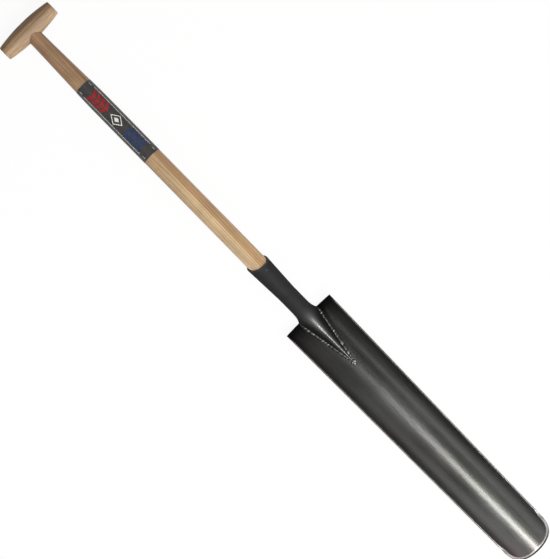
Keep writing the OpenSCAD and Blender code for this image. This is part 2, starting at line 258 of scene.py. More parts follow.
@dataclass(frozen=True)
class GrowthRings:
    """Rings about a log's axis: their width, how much slower they change along it, and how they wander."""

    width_mm: float
    run: float
    wander: float
    detail: float
    fineness: float
    rough: float

    def lay(self, tree: bpy.types.NodeTree, log: bpy.types.NodeSocket) -> bpy.types.NodeSocket:
        """Draws the rings.

        Args:
            tree: The material's node tree.
            log: Place in the log, counted from its axis.

        Returns:
            How far out in its ring the place lies, from 0 to 1.
        """
        drawn = add(tree, "Mapping", {"Scale": (self.run, 1.0, 1.0)}, {"Vector": log})[0]
        # A wave of scale s repeats every 2 pi / 20 s.
        look = {
            "wave_type": "RINGS", "rings_direction": "X", "wave_profile": "SAW",
            "Scale": 2.0 * math.pi / (20.0 * self.width_mm * MM), "Distortion": self.wander,
            "Detail": self.detail, "Detail Scale": self.fineness, "Detail Roughness": self.rough,
        }
        return add(tree, "TexWave", look, {"Vector": drawn})["Fac"]


# Streaks of darker wood run on for some 140 mm.
STREAKS = Marks(142.86, 2.632, detail=3.0, rough=0.55, wander=0.8)
# Fibres are a tenth of a millimetre wide, which is too fine to show, so they are drawn at 1.85 mm.
FIBRES = Marks(200.0, 1.852, wander=0.8)
# Pores are short open dashes, drawn twice as wide as they are so that they show.
PORES = Marks(8.333, 0.5882, detail=1.0)
# Soft blotches, where the lacquer has sunk in unevenly.
BLOTCHES = Marks(30.3, 30.3)
# Rolling and grinding leave hair-fine lengthways lines, drawn 1 mm wide so that they show.
ROLLED_LINES = Marks(125.0, 1.0, detail=4.0, rough=0.65, wander=0.5)
# Rubbing bares the steel unevenly.
RUBBING = Marks(6.25, 6.25, detail=4.0, rough=0.7)
# Ink lies a little cloudy, and is rubbed off in specks.
CLOUDY_INK = Marks(5.556, 5.556, detail=5.0, rough=0.7)
INK_SPECKS = Marks(1.111, 1.111, rough=0.6)
# The tooth of heavy paper.
PAPER_TOOTH = Marks(2.857, 2.857, detail=3.0)


@dataclass(frozen=True)
class Wood:
    """Turned hardwood under thin clear lacquer: long pale and brown bands, fine fibres and open pores."""

    name: str
    pale: str
    brown: str
    streak: str
    # worn is the colour multiplied in towards the grip.
    worn: str
    grain: Grain
    ring_mm: float
    grip_tint_from_mm: float
    grip_tint_to_mm: float
    pith_mm: Flat = (92.0, -24.0)
    drift_deg: float = -1.5
    line_mm: float = 4.3
    line_dark: float = 0.68
    streak_levels: Levels = (0.48, 0.76, 0.0, 0.6)
    fibre_levels: Levels = (0.25, 0.75, 0.72, 1.18)
    pore_levels: Levels = (0.62, 0.74, 1.0, 0.72)
    blotch_levels: Levels = (0.3, 0.7, 0.9, 1.08)
    roughness: float = 0.46
    rough_spread: float = 0.08
    relief: float = 0.35
    relief_mm: float = 0.3
    lacquer: float = 0.12
    lacquer_rough: float = 0.3

    def material(self) -> bpy.types.Material:
        """Makes the wood: growth rings cut lengthways, streaks, fibres, pores and a darker tint towards the
        grip.

        Returns:
            The material.
        """
        material, tree = empty_material(self.name)
        place = add(tree, "TexCoord")["Object"]
        lengthways = {"Rotation": (0.0, 0.0, math.radians(self.grain.value))}
        turned = add(tree, "Mapping", lengthways, {"Vector": place})[0]
        # The log's axis lies beside the piece and leans a little, so the rings drift across it.
        axis = {
            "Location": (0.0, self.pith_mm[0] * MM, self.pith_mm[1] * MM),
            "Rotation": (0.0, 0.0, math.radians(self.drift_deg)),
        }
        log = add(tree, "Mapping", axis, {"Vector": turned})[0]
        # Each ring starts with a dark row of pores and grows paler outwards.
        rings = GrowthRings(self.ring_mm, run=0.045, wander=0.8, detail=3.0, fineness=0.6, rough=0.6)
        stops = [(0.0, self.streak), (0.05, self.brown), (0.38, self.brown), (0.5, self.pale)]
        ringed = add(tree, "ValToRGB", {"stops": stops}, {"Fac": rings.lay(tree, log)})["Color"]
        # Narrow dark growth lines wander a little along the log.
        fine_rings = GrowthRings(self.line_mm, run=0.15, wander=5.0, detail=2.0, fineness=0.5, rough=0.5)
        lines = fine_rings.lay(tree, log)
        streaks, fibres, pores, blotches = (
            marks.lay(tree, turned) for marks in (STREAKS, FIBRES, PORES, BLOTCHES)
        )
        streak_share = add(tree, "MapRange", {"levels": self.streak_levels}, {0: streaks})[0]
        dark = {"data_type": "RGBA", 7: linear(self.streak)}
        banded = add(tree, "Mix", dark, {0: streak_share, 6: ringed})[2]
        fibre_light, pore_light, line_light, blotch_light = (
            add(tree, "MapRange", {"levels": levels}, {0: source})[0]
            for source, levels in (
                (fibres, self.fibre_levels), (pores, self.pore_levels),
                (lines, (0.0, 0.55, self.line_dark, 1.04)), (blotches, self.blotch_levels),
            )
        )
        shade = fibre_light
        for light in (pore_light, line_light, blotch_light):
            shade = add(tree, "Math", {"operation": "MULTIPLY"}, {0: shade, 1: light})[0]
        shaded = add(tree, "VectorMath", {"operation": "SCALE"}, {"Vector": banded, "Scale": shade})[0]
        # Darker towards the grip.
        along = add(tree, "SeparateXYZ", links={0: place})["X"]
        ends = (self.grip_tint_to_mm * MM, self.grip_tint_from_mm * MM, 0.0, 1.0)
        toward_grip = add(tree, "MapRange", {"interpolation_type": "SMOOTHSTEP", "levels": ends}, {0: along})[0]
        tint = {"data_type": "RGBA", "blend_type": "MULTIPLY", 7: linear(self.worn)}
        colour = add(tree, "Mix", tint, {0: toward_grip, 6: shaded})[2]
        gloss = (0.2, 0.8, self.roughness + self.rough_spread, self.roughness - self.rough_spread)
        rough = add(tree, "MapRange", {"levels": gloss}, {0: fibres})[0]
        height = add(tree, "Math", {"operation": "MULTIPLY"}, {0: fibres, 1: pore_light})[0]
        bump = add(
            tree, "Bump", {"Strength": self.relief, "Distance": self.relief_mm * MM}, {"Height": height}
        )[0]
        shader = add(
            tree, "BsdfPrincipled", {"Coat Weight": self.lacquer, "Coat Roughness": self.lacquer_rough},
            {"Base Color": colour, "Roughness": rough, "Normal": bump},
        )
        add(tree, "OutputMaterial", links={"Surface": shader[0]})
        return material


@dataclass(frozen=True)
class Steel:
    """Dark hardened steel: cloudy heat colours, a rolled grain, bright ground edges, black oxide, painted shade
    and painted highlights.
    """

    name: str
    grey: str
    dark: str
    heat: str
    ground: str
    cloud_mm: float
    roughness: float
    spread: float = 0.07
    pit_mm: float = 3.0
    relief: float = 0.25
    relief_mm: float = 0.2
    line_relief: float = 0.3
    drawn: float = 0.12
    drawn_out: float = 0.35
    dulled: float = 0.2
    edge_light: str = "#a6a6a6"
    tint_levels: Levels = (0.54, 0.72, 0.0, 0.7)
    oxide_and_shade_levels: Levels = (-1.0, 0.0, 0.1, 1.0)
    rub_levels: Levels = (0.3, 0.6, 0.72, 1.0)

    def material(self) -> bpy.types.Material:
        """Makes the steel: clouds, a lengthways grain, heat tints, pits, oxide and worn edges, and painted shade
        and painted highlights.

        Returns:
            The material.
        """
        material, tree = empty_material(self.name)
        place = add(tree, "TexCoord")["Object"]
        tint_mm = 2.5 * self.cloud_mm
        clouds, tints, lines, rub, pits = (
            marks.lay(tree, place)
            for marks in (
                Marks(self.cloud_mm / self.drawn_out, self.cloud_mm, 5.0, 0.6),
                Marks(tint_mm / self.drawn_out, tint_mm),
                ROLLED_LINES,
                RUBBING,
                Marks(self.pit_mm, self.pit_mm, 3.0, 0.6),
            )
        )
        stops = [(0.28, self.dark), (0.72, self.grey)]
        body = add(tree, "ValToRGB", {"stops": stops}, {"Fac": clouds})["Color"]
        tint_share = add(tree, "MapRange", {"levels": self.tint_levels}, {0: tints})[0]
        heated = {"data_type": "RGBA", 7: linear(self.heat)}
        scaled = add(tree, "Mix", heated, {0: tint_share, 6: body})[2]
        # Below 0 the attribute darkens the steel, for black oxide and for painted shade; above 0 it lightens it,
        # for bared steel and for painted highlights.
        ground = add(tree, "Attribute", {"attribute_name": "ground"})["Fac"]
        line_levels = (0.25, 0.75, 1.0 - self.drawn, 1.0 + self.drawn)
        for source, levels in ((lines, line_levels), (ground, self.oxide_and_shade_levels)):
            light = add(tree, "MapRange", {"levels": levels}, {0: source})[0]
            scaled = add(tree, "VectorMath", {"operation": "SCALE"}, {"Vector": scaled, "Scale": light})[0]
        rubbed = add(tree, "MapRange", {"levels": self.rub_levels}, {0: rub})[0]
        bare_and_painted_light = add(tree, "Math", {"operation": "MULTIPLY", "use_clamp": True}, {0: ground, 1: rubbed})[0]
        bright = {"data_type": "RGBA", 7: linear(self.ground)}
        colour = add(tree, "Mix", bright, {0: bare_and_painted_light, 6: scaled})[2]
        mixed = add(tree, "Math", {"operation": "ADD"}, {0: clouds, 1: lines})[0]
        gloss = (0.7, 1.3, self.roughness - self.spread, self.roughness + self.spread)
        rough = add(tree, "MapRange", {"levels": gloss}, {0: mixed})[0]
        rough = add(tree, "Math", {"operation": "MULTIPLY_ADD", 1: self.dulled}, {0: bare_and_painted_light, 2: rough})[0]
        height = add(tree, "Math", {"operation": "MULTIPLY_ADD", 1: self.line_relief}, {0: lines, 2: pits})[0]
        bump = add(
            tree, "Bump", {"Strength": self.relief, "Distance": self.relief_mm * MM}, {"Height": height}
        )[0]
        shader = add(
            tree, "BsdfPrincipled", {"Metallic": 1.0, "Specular Tint": linear(self.edge_light)},
            {"Base Color": colour, "Roughness": rough, "Normal": bump},
        )
        add(tree, "OutputMaterial", links={"Surface": shader[0]})
        return material


@dataclass(frozen=True)
class Film:
    """Printed polyester film or its ink: even satin colour, faint mottling and rubbed specks."""

    name: str
    colour: str
    rubbed: str
    roughness: float = 0.42
    rub_levels: Levels = (0.2, 0.45, 0.0, 0.4)
    satin: Flat = (-0.06, 0.1)
    peel: float = 0.12
    peel_mm: float = 0.1

    def material(self) -> bpy.types.Material:
        """Makes the film: a satin face with faint mottling, rubbed specks and a slight orange peel.

        Returns:
            The material.
        """
        material, tree = empty_material(self.name)
        place = add(tree, "TexCoord")["Object"]
        mottle, specks = CLOUDY_INK.lay(tree, place), INK_SPECKS.lay(tree, place)
        joined = add(tree, "Math", {"operation": "MULTIPLY"}, {0: mottle, 1: specks})[0]
        share = add(tree, "MapRange", {"levels": self.rub_levels}, {0: joined})[0]
        inks = {"data_type": "RGBA", 6: linear(self.colour), 7: linear(self.rubbed)}
        colour = add(tree, "Mix", inks, {0: share})[2]
        gloss = (0.3, 0.7, self.roughness + self.satin[0], self.roughness + self.satin[1])
        rough = add(tree, "MapRange", {"levels": gloss}, {0: mottle})[0]
        bump = add(tree, "Bump", {"Strength": self.peel, "Distance": self.peel_mm * MM}, {"Height": specks})[0]
        shader = add(
            tree, "BsdfPrincipled", links={"Base Color": colour, "Roughness": rough, "Normal": bump}
        )
        add(tree, "OutputMaterial", links={"Surface": shader[0]})
        return material


@dataclass(frozen=True)
class Paper:
    """Pale studio paper: white where it is seen, with the spade's shadow kept on it."""

    name: str
    colour: str
    roughness: float = 0.9
    tooth: float = 0.05
    tooth_mm: float = 0.2
    whiteness: float = 0.93

    def material(self) -> bpy.types.Material:
        """Makes the paper, which adds its own white for what looks at it and lights nothing with that.

        Returns:
            The material.
        """
        material, tree = empty_material(self.name)
        height = PAPER_TOOTH.lay(tree, add(tree, "TexCoord")["Object"])
        bump = add(tree, "Bump", {"Strength": self.tooth, "Distance": self.tooth_mm * MM}, {"Height": height})[0]
        matt = {"Base Color": linear(self.colour), "Roughness": self.roughness}
        lit = add(tree, "BsdfPrincipled", matt, {"Normal": bump})[0]
        path = add(tree, "LightPath")
        seen = path["Is Camera Ray"]
        for ray in ("Is Glossy Ray", "Is Transmission Ray"):
            seen = add(tree, "Math", {"operation": "MAXIMUM"}, {0: seen, 1: path[ray]})[0]
        share = add(tree, "Math", {"operation": "MULTIPLY", 1: self.whiteness}, {0: seen})[0]
        white = add(tree, "Emission", {"Color": linear("#ffffff"), "Strength": 1.0})[0]
        mixed = add(tree, "MixShader", links={0: share, 1: lit, 2: white})[0]
        add(tree, "OutputMaterial", links={"Surface": mixed})
        return material


# Turned ash, lacquered: pale straw bands with long brown streaks, darker and duller near the grip.
ASH = Wood(
    "Ash_turned_lacquered", "#d0b38b", "#bd986e", "#9c7248", "#c2b4ae", Grain.ALONG_SHAFT, 36.0, -640.0, -60.0,
    pith_mm=(106.8, -24.0), drift_deg=0.9,
)
# Turned beech, lacquered thinly: close, warm and dull, with the fibres along the grip.
BEECH = Wood(
    "Beech_turned_lacquered", "#9f8364", "#95795c", "#8b6f52", "#d8ccc2", Grain.ALONG_GRIP, 9.0, -667.0, -640.0,
    line_dark=0.92, roughness=0.6, lacquer=0.03,
)
# Sawn oak for the wedge: darker and dry, because its end is not lacquered through.
WEDGE_OAK = Wood(
    "Oak_sawn_wedge", "#a9845a", "#8a6540", "#7d5a38", "#c0a890", Grain.ALONG_SHAFT, 4.0, -700.0, -690.0,
    roughness=0.6,
)
# Hardened sheet steel, lacquered: near-black with a grey sheen, darker by the welds, bright at its edge, with a
# painted shadow line along the lip of its nose.
BLADE_SHEET = Steel(
    "Hardened_sheet_steel_lacquered", "#636361", "#53534f", "#66595a", "#c6c5c2", 70.0, 0.31
)
# Forged steel under dark lacquer: dull and even, darkened by scale and painted shade on its neck and by painted
# shade on the tongue's flanks, and bright along the rubbed ridge, which is painted lighter as a highlight line.
FORGED_SOCKET = Steel(
    "Forged_steel_dark_lacquer", "#5a5a59", "#4b4c4c", "#555450", "#666561", 35.0, 0.74, spread=0.03,
    pit_mm=2.0, relief=0.05, drawn=0.02, dulled=-0.5,
)
# Weld metal, lacquered: dark and rough, with a light crown on each ripple; on the side beads these crowns, and
# the specks on the toe drop, are painted highlights.
WELD_METAL = Steel(
    "Weld_metal_lacquered", "#4e4e4c", "#3a3a39", "#45433e", "#c2c1bd", 5.0, 0.54, pit_mm=1.6, relief=0.5,
    drawn=0.02,
)
# Soft rivet steel, ground flush and lacquered with the socket: a faint blue round.
RIVET_STEEL = Steel(
    "Rivet_steel_ground_flush", "#454a55", "#3a3e47", "#404653", "#5a5d64", 6.0, 0.54, relief=0.1, drawn=0.03
)
# Zinc-plated wire: bright and a little soft.
ZINC_WIRE = Steel(
    "Zinc_plated_wire", "#eeeeed", "#d8d9d9", "#e2e2de", "#f4f4f2", 3.0, 0.42, pit_mm=1.0, relief=0.15,
    drawn=0.05,
)
# Polyester film and its screen inks: an even satin charcoal, brick red, navy and a warm white.
LABEL_INKS = {
    Ink.CHARCOAL: Film("Polyester_film_charcoal", "#363533", "#545250"),
    Ink.RED: Film("Screen_ink_brick_red", "#8a1a1d", "#9c4343"),
    Ink.NAVY: Film("Screen_ink_navy", "#213256", "#434f6e"),
    Ink.WHITE: Film("Screen_ink_warm_white", "#dcd8d0", "#bdb8b0"),
}
# Heavy uncoated paper: matt and a little warm.
STUDIO_PAPER = Paper("Studio_paper", "#f2f1ee")


@dataclass(frozen=True)
class Sizes:
    """The sizes that several pieces share, as in the part's source."""

    blade_l: float = 600.0
    blade_w: float = 108.0
    blade_tip_w: float = 94.0
    blade_half_angle: float = 50.0
    blade_t: float = 2.4
    socket_l: float = 130.0
    mouth_rise: float = 11.7
    mouth_turn: float = 14.0
    neck_l: float = 55.0
    socket_wall: float = 2.4
    socket_gap: float = 0.25
    flare_l: float = 20.0
    lap_l: float = 6.0
    tongue_l: float = 117.0
    tongue_w: float = 45.0
    toe_w: float = 3.4
    toe_h: float = 2.6
    ridge_fold: float = 0.5
    ridge_start: float = 2.0
    fold_l: float = 30.0
    seat_gap: float = 0.1
    shaft_d: float = 36.0
    shaft_top_d: float = 28.4
    shaft_foot_d: float = 30.0
    shaft_taper_l: float = 165.0
    grip_reach: float = 717.0
    grip_d: float = 37.5

    @property
    def middle_x(self) -> float:
        """The x of the middle of the whole tool."""
        return (self.blade_l - self.grip_reach - self.grip_d / 2.0) / 2.0

    @property
    def blade_top_r(self) -> float:
        """Radius of the blade's back at its top edge."""
        return self.blade_w / 2.0 / math.sin(math.radians(self.blade_half_angle))

    @property
    def blade_tip_r(self) -> float:
        """Radius of the blade's back at its tip."""
        return self.blade_tip_w / 2.0 / math.sin(math.radians(self.blade_half_angle))

    @property
    def neck_r(self) -> float:
        """Outside radius of the neck."""
        return self.shaft_foot_d / 2.0 + self.socket_gap + self.socket_wall

    @property
    def mouth_low_x(self) -> float:
        """The x of the mouth's low side."""
        return -(self.socket_l - self.mouth_rise)

    @property
    def socket_slope(self) -> float:
        """How fast the socket widens towards its mouth."""
        mouth_r = self.shaft_d / 2.0 + self.socket_gap + self.socket_wall
        return (mouth_r - self.neck_r) / (-self.mouth_low_x - self.neck_l)

    @property
    def axis_z(self) -> float:
        """Height of the shaft's axis."""
        return self.socket_r(-(self.socket_l + self.mouth_rise))

    @property
    def grip_front_x(self) -> float:
        """The x where the shaft leaves the grip."""
        return -self.grip_reach + self.grip_d / 2.0

    def socket_r(self, x: float) -> float:
        """Outside radius of the socket at x."""
        return self.neck_r + self.socket_slope * max(0.0, -x - self.neck_l)

    def shaft_r(self, x: float) -> float:
        """Radius of the shaft at x.

        Args:
            x: Place along the shaft.

        Returns:
            The radius, narrowed under the grip and in the socket.
        """
        if x > self.mouth_low_x:
            share = (x - self.mouth_low_x) / (-self.neck_l - self.mouth_low_x)
            return (self.shaft_d + (self.shaft_foot_d - self.shaft_d) * share) / 2.0
        t = clamp((x - self.grip_front_x) / self.shaft_taper_l)
        ease = (t + smooth(t)) / 2.0
        return (self.shaft_top_d + (self.shaft_d - self.shaft_top_d) * ease) / 2.0

    def blade_r(self, x: float) -> float:
        """Radius of the blade's back at x."""
        return self.blade_top_r + (self.blade_tip_r - self.blade_top_r) * x / self.blade_l

    def trough_z(self, x: float, y: float) -> float:
        """Height of the blade's hollow face at x and y."""
        r = self.blade_r(x)
        return r - math.sqrt((r - self.blade_t) ** 2 - y * y)

    def blade_point(self, r: float, angle: float, h: float) -> Point:
        """Lays a point of the blade, given round its own axis, on the ground.

        Args:
            r: Distance from the blade's axis.
            angle: Turn about that axis in radians, 0 at the bottom of the hollow.
            h: Length along that axis from the top edge.

        Returns:
            The point.
        """
        lean = math.asin((self.blade_top_r - self.blade_tip_r) / self.blade_l)
        z = self.blade_top_r - r * math.cos(angle)
        return (
            h * math.cos(lean) + z * math.sin(lean),
            r * math.sin(angle),
            z * math.cos(lean) - h * math.sin(lean),
        )

    def round_point(self, x: float, r: float, angle: float) -> Point:
        """A point at radius r round the shaft's axis, with angle 0 at the front and in radians."""
        return (x, r * math.sin(angle), self.axis_z + r * math.cos(angle))

    def placed(self, p: Point) -> Point:
        """Turns a point into metres in the part's frame."""
        return ((p[0] - self.middle_x) * MM, p[1] * MM, p[2] * MM)


class Skin:
    """Gathers the points and faces of one piece."""

    def __init__(self, sizes: Sizes) -> None:
        """Starts an empty skin for a spade of these sizes."""
        self.sizes = sizes
        self.points: list[Point] = []
        self.ground: list[float] = []
        self.faces: list[tuple[int, ...]] = []
        self.inks: list[int] = []

    def row(self, points: Iterable[Point], ground: float | Sequence[float] = 0.0) -> list[int]:
        """Adds a row of points.

        Args:
            points: The points, in order.
            ground: The steel there, from -1 for black oxide and painted shade to 1 for bare steel and painted
                highlights, as one value or one for each point.

        Returns:
            The numbers of the points.
        """
        start = len(self.points)
        self.points.extend(points)
        count = len(self.points) - start
        self.ground.extend([ground] * count if isinstance(ground, float) else ground)
        return list(range(start, start + count))

    def bridge(self, a: Sequence[int], b: Sequence[int], closed: bool = True, ink: int = 0) -> None:
        """Joins two rows of as many points with four-sided faces, or three-sided ones where they share a point.

        Args:
            a: One row.
            b: The next row.
            closed: Whether the rows run all the way round.
            ink: Which of the piece's materials the faces take.
        """
        for i in range(len(a) if closed else len(a) - 1):
            j = (i + 1) % len(a)
            self.faces.append(tuple(dict.fromkeys((a[i], a[j], b[j], b[i]))))
            self.inks.append(ink)

    def loft(self, rows: Sequence[Sequence[int]], closed: bool = True, ink: int = 0) -> None:
        """Joins each row to the next."""
        for a, b in zip(rows, rows[1:]):
            self.bridge(a, b, closed, ink)

    def cap(self, ring: Sequence[int]) -> None:
        """Closes a ring with a fan about its middle.

        Args:
            ring: The ring's points.
        """
        middle = [sum(self.points[i][k] for i in ring) / len(ring) for k in range(3)]
        hub = self.row([(middle[0], middle[1], middle[2])], self.ground[ring[0]])[0]
        for i, p in enumerate(ring):
            self.faces.append((p, ring[(i + 1) % len(ring)], hub))
            self.inks.append(0)

    def tube(self, rows: Sequence[Sequence[int]]) -> None:
        """Joins rings one to the next and closes both ends.

        Args:
            rows: The rings.
        """
        self.loft(rows)
        self.cap(rows[0])
        self.cap(rows[-1])

    def mesh(self, name: str) -> bpy.types.Mesh:
        """Makes the mesh in the part's frame, with all faces turned outwards.

        Args:
            name: The mesh's name.

        Returns:
            The mesh.
        """
        mesh = bpy.data.meshes.new(name)
        mesh.from_pydata([self.sizes.placed(p) for p in self.points], [], self.faces)
        work = bmesh.new()
        work.from_mesh(mesh)
        bmesh.ops.recalc_face_normals(work, faces=work.faces)
        work.to_mesh(mesh)
        work.free()
        return mesh

    def piece(
        self,
        name: str,
        materials: Sequence[bpy.types.Material],
        slot: Slot,
        node: str,
        crease: float = 38.0,
    ) -> bpy.types.Object:
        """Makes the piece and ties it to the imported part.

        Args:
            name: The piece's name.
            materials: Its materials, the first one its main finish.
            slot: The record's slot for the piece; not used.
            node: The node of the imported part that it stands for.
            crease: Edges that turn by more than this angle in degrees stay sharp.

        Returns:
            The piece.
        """
        mesh = self.mesh(name)
        for material in materials:
            mesh.materials.append(material)
        for polygon, ink in zip(mesh.polygons, self.inks):
            polygon.material_index = ink
            polygon.use_smooth = True
        ground = mesh.attributes.new("ground", "FLOAT", "POINT")
        for item, value in zip(ground.data, self.ground):
            item.value = value
        mesh.set_sharp_from_angle(angle=math.radians(crease))
        made = in_scene(name, mesh)
        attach(made, "root")
        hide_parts(node)
        return made


@dataclass
class Grip:
    """The barrel-shaped T-grip and the wedge that spreads the shaft's tenon in it."""

    sizes: Sizes
    length: float = 120.0
    end_d: float = 27.0
    edge_r: float = 2.0
    housing_x: float = 8.0
    tenon_d: float = 20.0
    play: float = 0.1
    wedge_t: float = 2.6
    wedge_w: float = 19.4
    wedge_l: float = 20.0
    wedge_taper: float = 0.65
    wedge_ease: float = 0.12
    around: int = 112
    bore_around: int = 64
    bore_turn: float = 0.03
    bore_crease: float = 38.0

    def barrel_r(self, y: float) -> float:
        """Radius of the barrel at y."""
        sag = (self.sizes.grip_d - self.end_d) / 2.0
        return self.sizes.grip_d / 2.0 - sag * (2.0 * y / self.length) ** 2

    def outside_x(self, y: float, z: float) -> float:
        """The x of the barrel's outer face at y, and at z from its axis."""
        return -self.sizes.grip_reach - math.sqrt(self.barrel_r(y) ** 2 - z * z)

    def ring(self, y: float, r: float) -> list[Point]:
        """A ring of the barrel round its own axis, of radius r at y."""
        reach, height = self.sizes.grip_reach, self.sizes.axis_z
        return [(-reach + r * math.cos(a), y, height + r * math.sin(a)) for a in full_turn(self.around)]

    def build(self) -> list[bpy.types.Object]:
        """Makes the grip with its bore and housing, and the wedge.

        Returns:
            The two pieces.
        """
        half, edge_r = self.length / 2.0, self.edge_r
        edge_y = half - edge_r
        flat_r = self.barrel_r(edge_y) - edge_r
        end = [(half, flat_r * share) for share in (0.35, 0.7)]
        for i in range(6, 0, -1):
            a = math.radians(15.0 * i)
            end.append((edge_y + edge_r * math.sin(a), flat_r + edge_r * math.cos(a)))
        stations = [(-y, r) for y, r in end]
        stations += [(y, self.barrel_r(y)) for y in span(-edge_y, edge_y, 49)]
        stations += end[::-1]
        skin = Skin(self.sizes)
        skin.tube([skin.row(self.ring(y, r)) for y, r in stations])
        grip = skin.piece("grip_barrel", [BEECH.material()], Slot.GRIP, "t_grip")
        self.bore(grip)
        return [grip, self.build_wedge()]

    def bore(self, grip: bpy.types.Object) -> None:
        """Cuts the tenon's bore and the shaft's housing into the grip.

        Args:
            grip: The grip's barrel.
        """
        sizes = self.sizes
        shoulder = -sizes.grip_reach + self.housing_x - self.play
        tenon_r, housing_r = self.tenon_d / 2.0 + self.play, sizes.shaft_top_d / 2.0 + self.play
        steps = [
            (-sizes.grip_reach - sizes.grip_d, tenon_r), (shoulder, tenon_r),
            (shoulder, housing_r), (sizes.grip_front_x + 10.0, housing_r),
        ]
        skin = Skin(sizes)
        # Turned a little, so that no corner of the tool falls on a corner of the barrel.
        angles = [a + self.bore_turn for a in full_turn(self.bore_around)]
        skin.tube([skin.row(sizes.round_point(x, r, a) for a in angles) for x, r in steps])
        tool = in_scene("bore_tool", skin.mesh("bore_tool"))
        cut = grip.modifiers.new("bore", "BOOLEAN")
        cut.operation = "DIFFERENCE"
        cut.solver = "EXACT"
        cut.object = tool
        bpy.context.view_layer.update()
        bored = bpy.data.meshes.new_from_object(grip.evaluated_get(bpy.context.evaluated_depsgraph_get()))
        grip.modifiers.clear()
        grip.data = bored
        bored.set_sharp_from_angle(angle=math.radians(self.bore_crease))
        bpy.data.objects.remove(tool)

    def build_wedge(self) -> bpy.types.Object:
        """Makes the wedge, whose driven end lies in the barrel's face.

        Returns:
            The wedge.
        """
        sizes, half_w = self.sizes, self.wedge_w / 2.0
        skin = Skin(sizes)
        rows: list[list[int]] = []
        for share in (0.0, 0.03, 0.5, 1.0):
            thick = self.wedge_t / 2.0 * (1.0 - self.wedge_taper * share)
            thick -= self.wedge_ease if share == 0.0 else 0.0
            ring: list[Point] = []
            for side in (-1.0, 1.0):
                for z in span(-side * half_w, side * half_w, 13):
                    x = self.outside_x(side * thick, z) + share * self.wedge_l
                    ring.append((x, side * thick, sizes.axis_z + z))
            rows.append(skin.row(ring))
        skin.loft(rows)
        skin.cap(rows[-1])
        head, half = rows[0], len(rows[0]) // 2
        skin.bridge(head[:half], head[:half - 1:-1], closed=False)
        return skin.piece("tenon_wedge_end", [WEDGE_OAK.material()], Slot.WEDGE, "tenon_wedge")


@dataclass
class Shaft:
    """The round ash shaft, with its tenon through the grip and its taper in the socket."""

    sizes: Sizes
    grip: Grip
    around: int = 96
    sunk: float = 0.12
    tenon_ease: float = 0.25

    def build(self) -> bpy.types.Object:
        """Makes the shaft from the end of its tenon to its end in the socket.

        Returns:
            The shaft.
        """
        sizes, grip = self.sizes, self.grip
        skin = Skin(sizes)
        angles = full_turn(self.around)
        rows: list[list[int]] = []
        for share in (0.15, 0.4, 0.65, 0.85, 0.96, 1.0):
            r = grip.tenon_d / 2.0 * share
            sunk = self.sunk + (self.tenon_ease if share == 1.0 else 0.0)
            ring: list[Point] = []
            for a in angles:
                y, z = r * math.sin(a), r * math.cos(a)
                ring.append((grip.outside_x(y, z) + sunk, y, sizes.axis_z + z))
            rows.append(skin.row(ring))
        shoulder = -sizes.grip_reach + grip.housing_x
        taper_end = sizes.grip_front_x + sizes.shaft_taper_l
        places = span(sizes.grip_front_x - 6.0, taper_end, 40)
        places += span(taper_end + 10.0, sizes.mouth_low_x, 24)
        places += span(sizes.mouth_low_x + 8.0, -sizes.neck_l, 6)
        stations = [(shoulder, grip.tenon_d / 2.0), (shoulder, sizes.shaft_top_d / 2.0)]
        for x, r in stations + [(x, sizes.shaft_r(x)) for x in places]:
            rows.append(skin.row(sizes.round_point(x, r, a) for a in angles))
        skin.tube(rows)
        return skin.piece("ash_shaft", [ASH.material()], Slot.SHAFT, "shaft")


@dataclass(frozen=True)
class Band:
    """A printed shape, from one v across the label to another, with its two ends along the label at each v."""

    ink: Ink
    low_v: float
    high_v: float
    ends: Callable[[float], Flat]


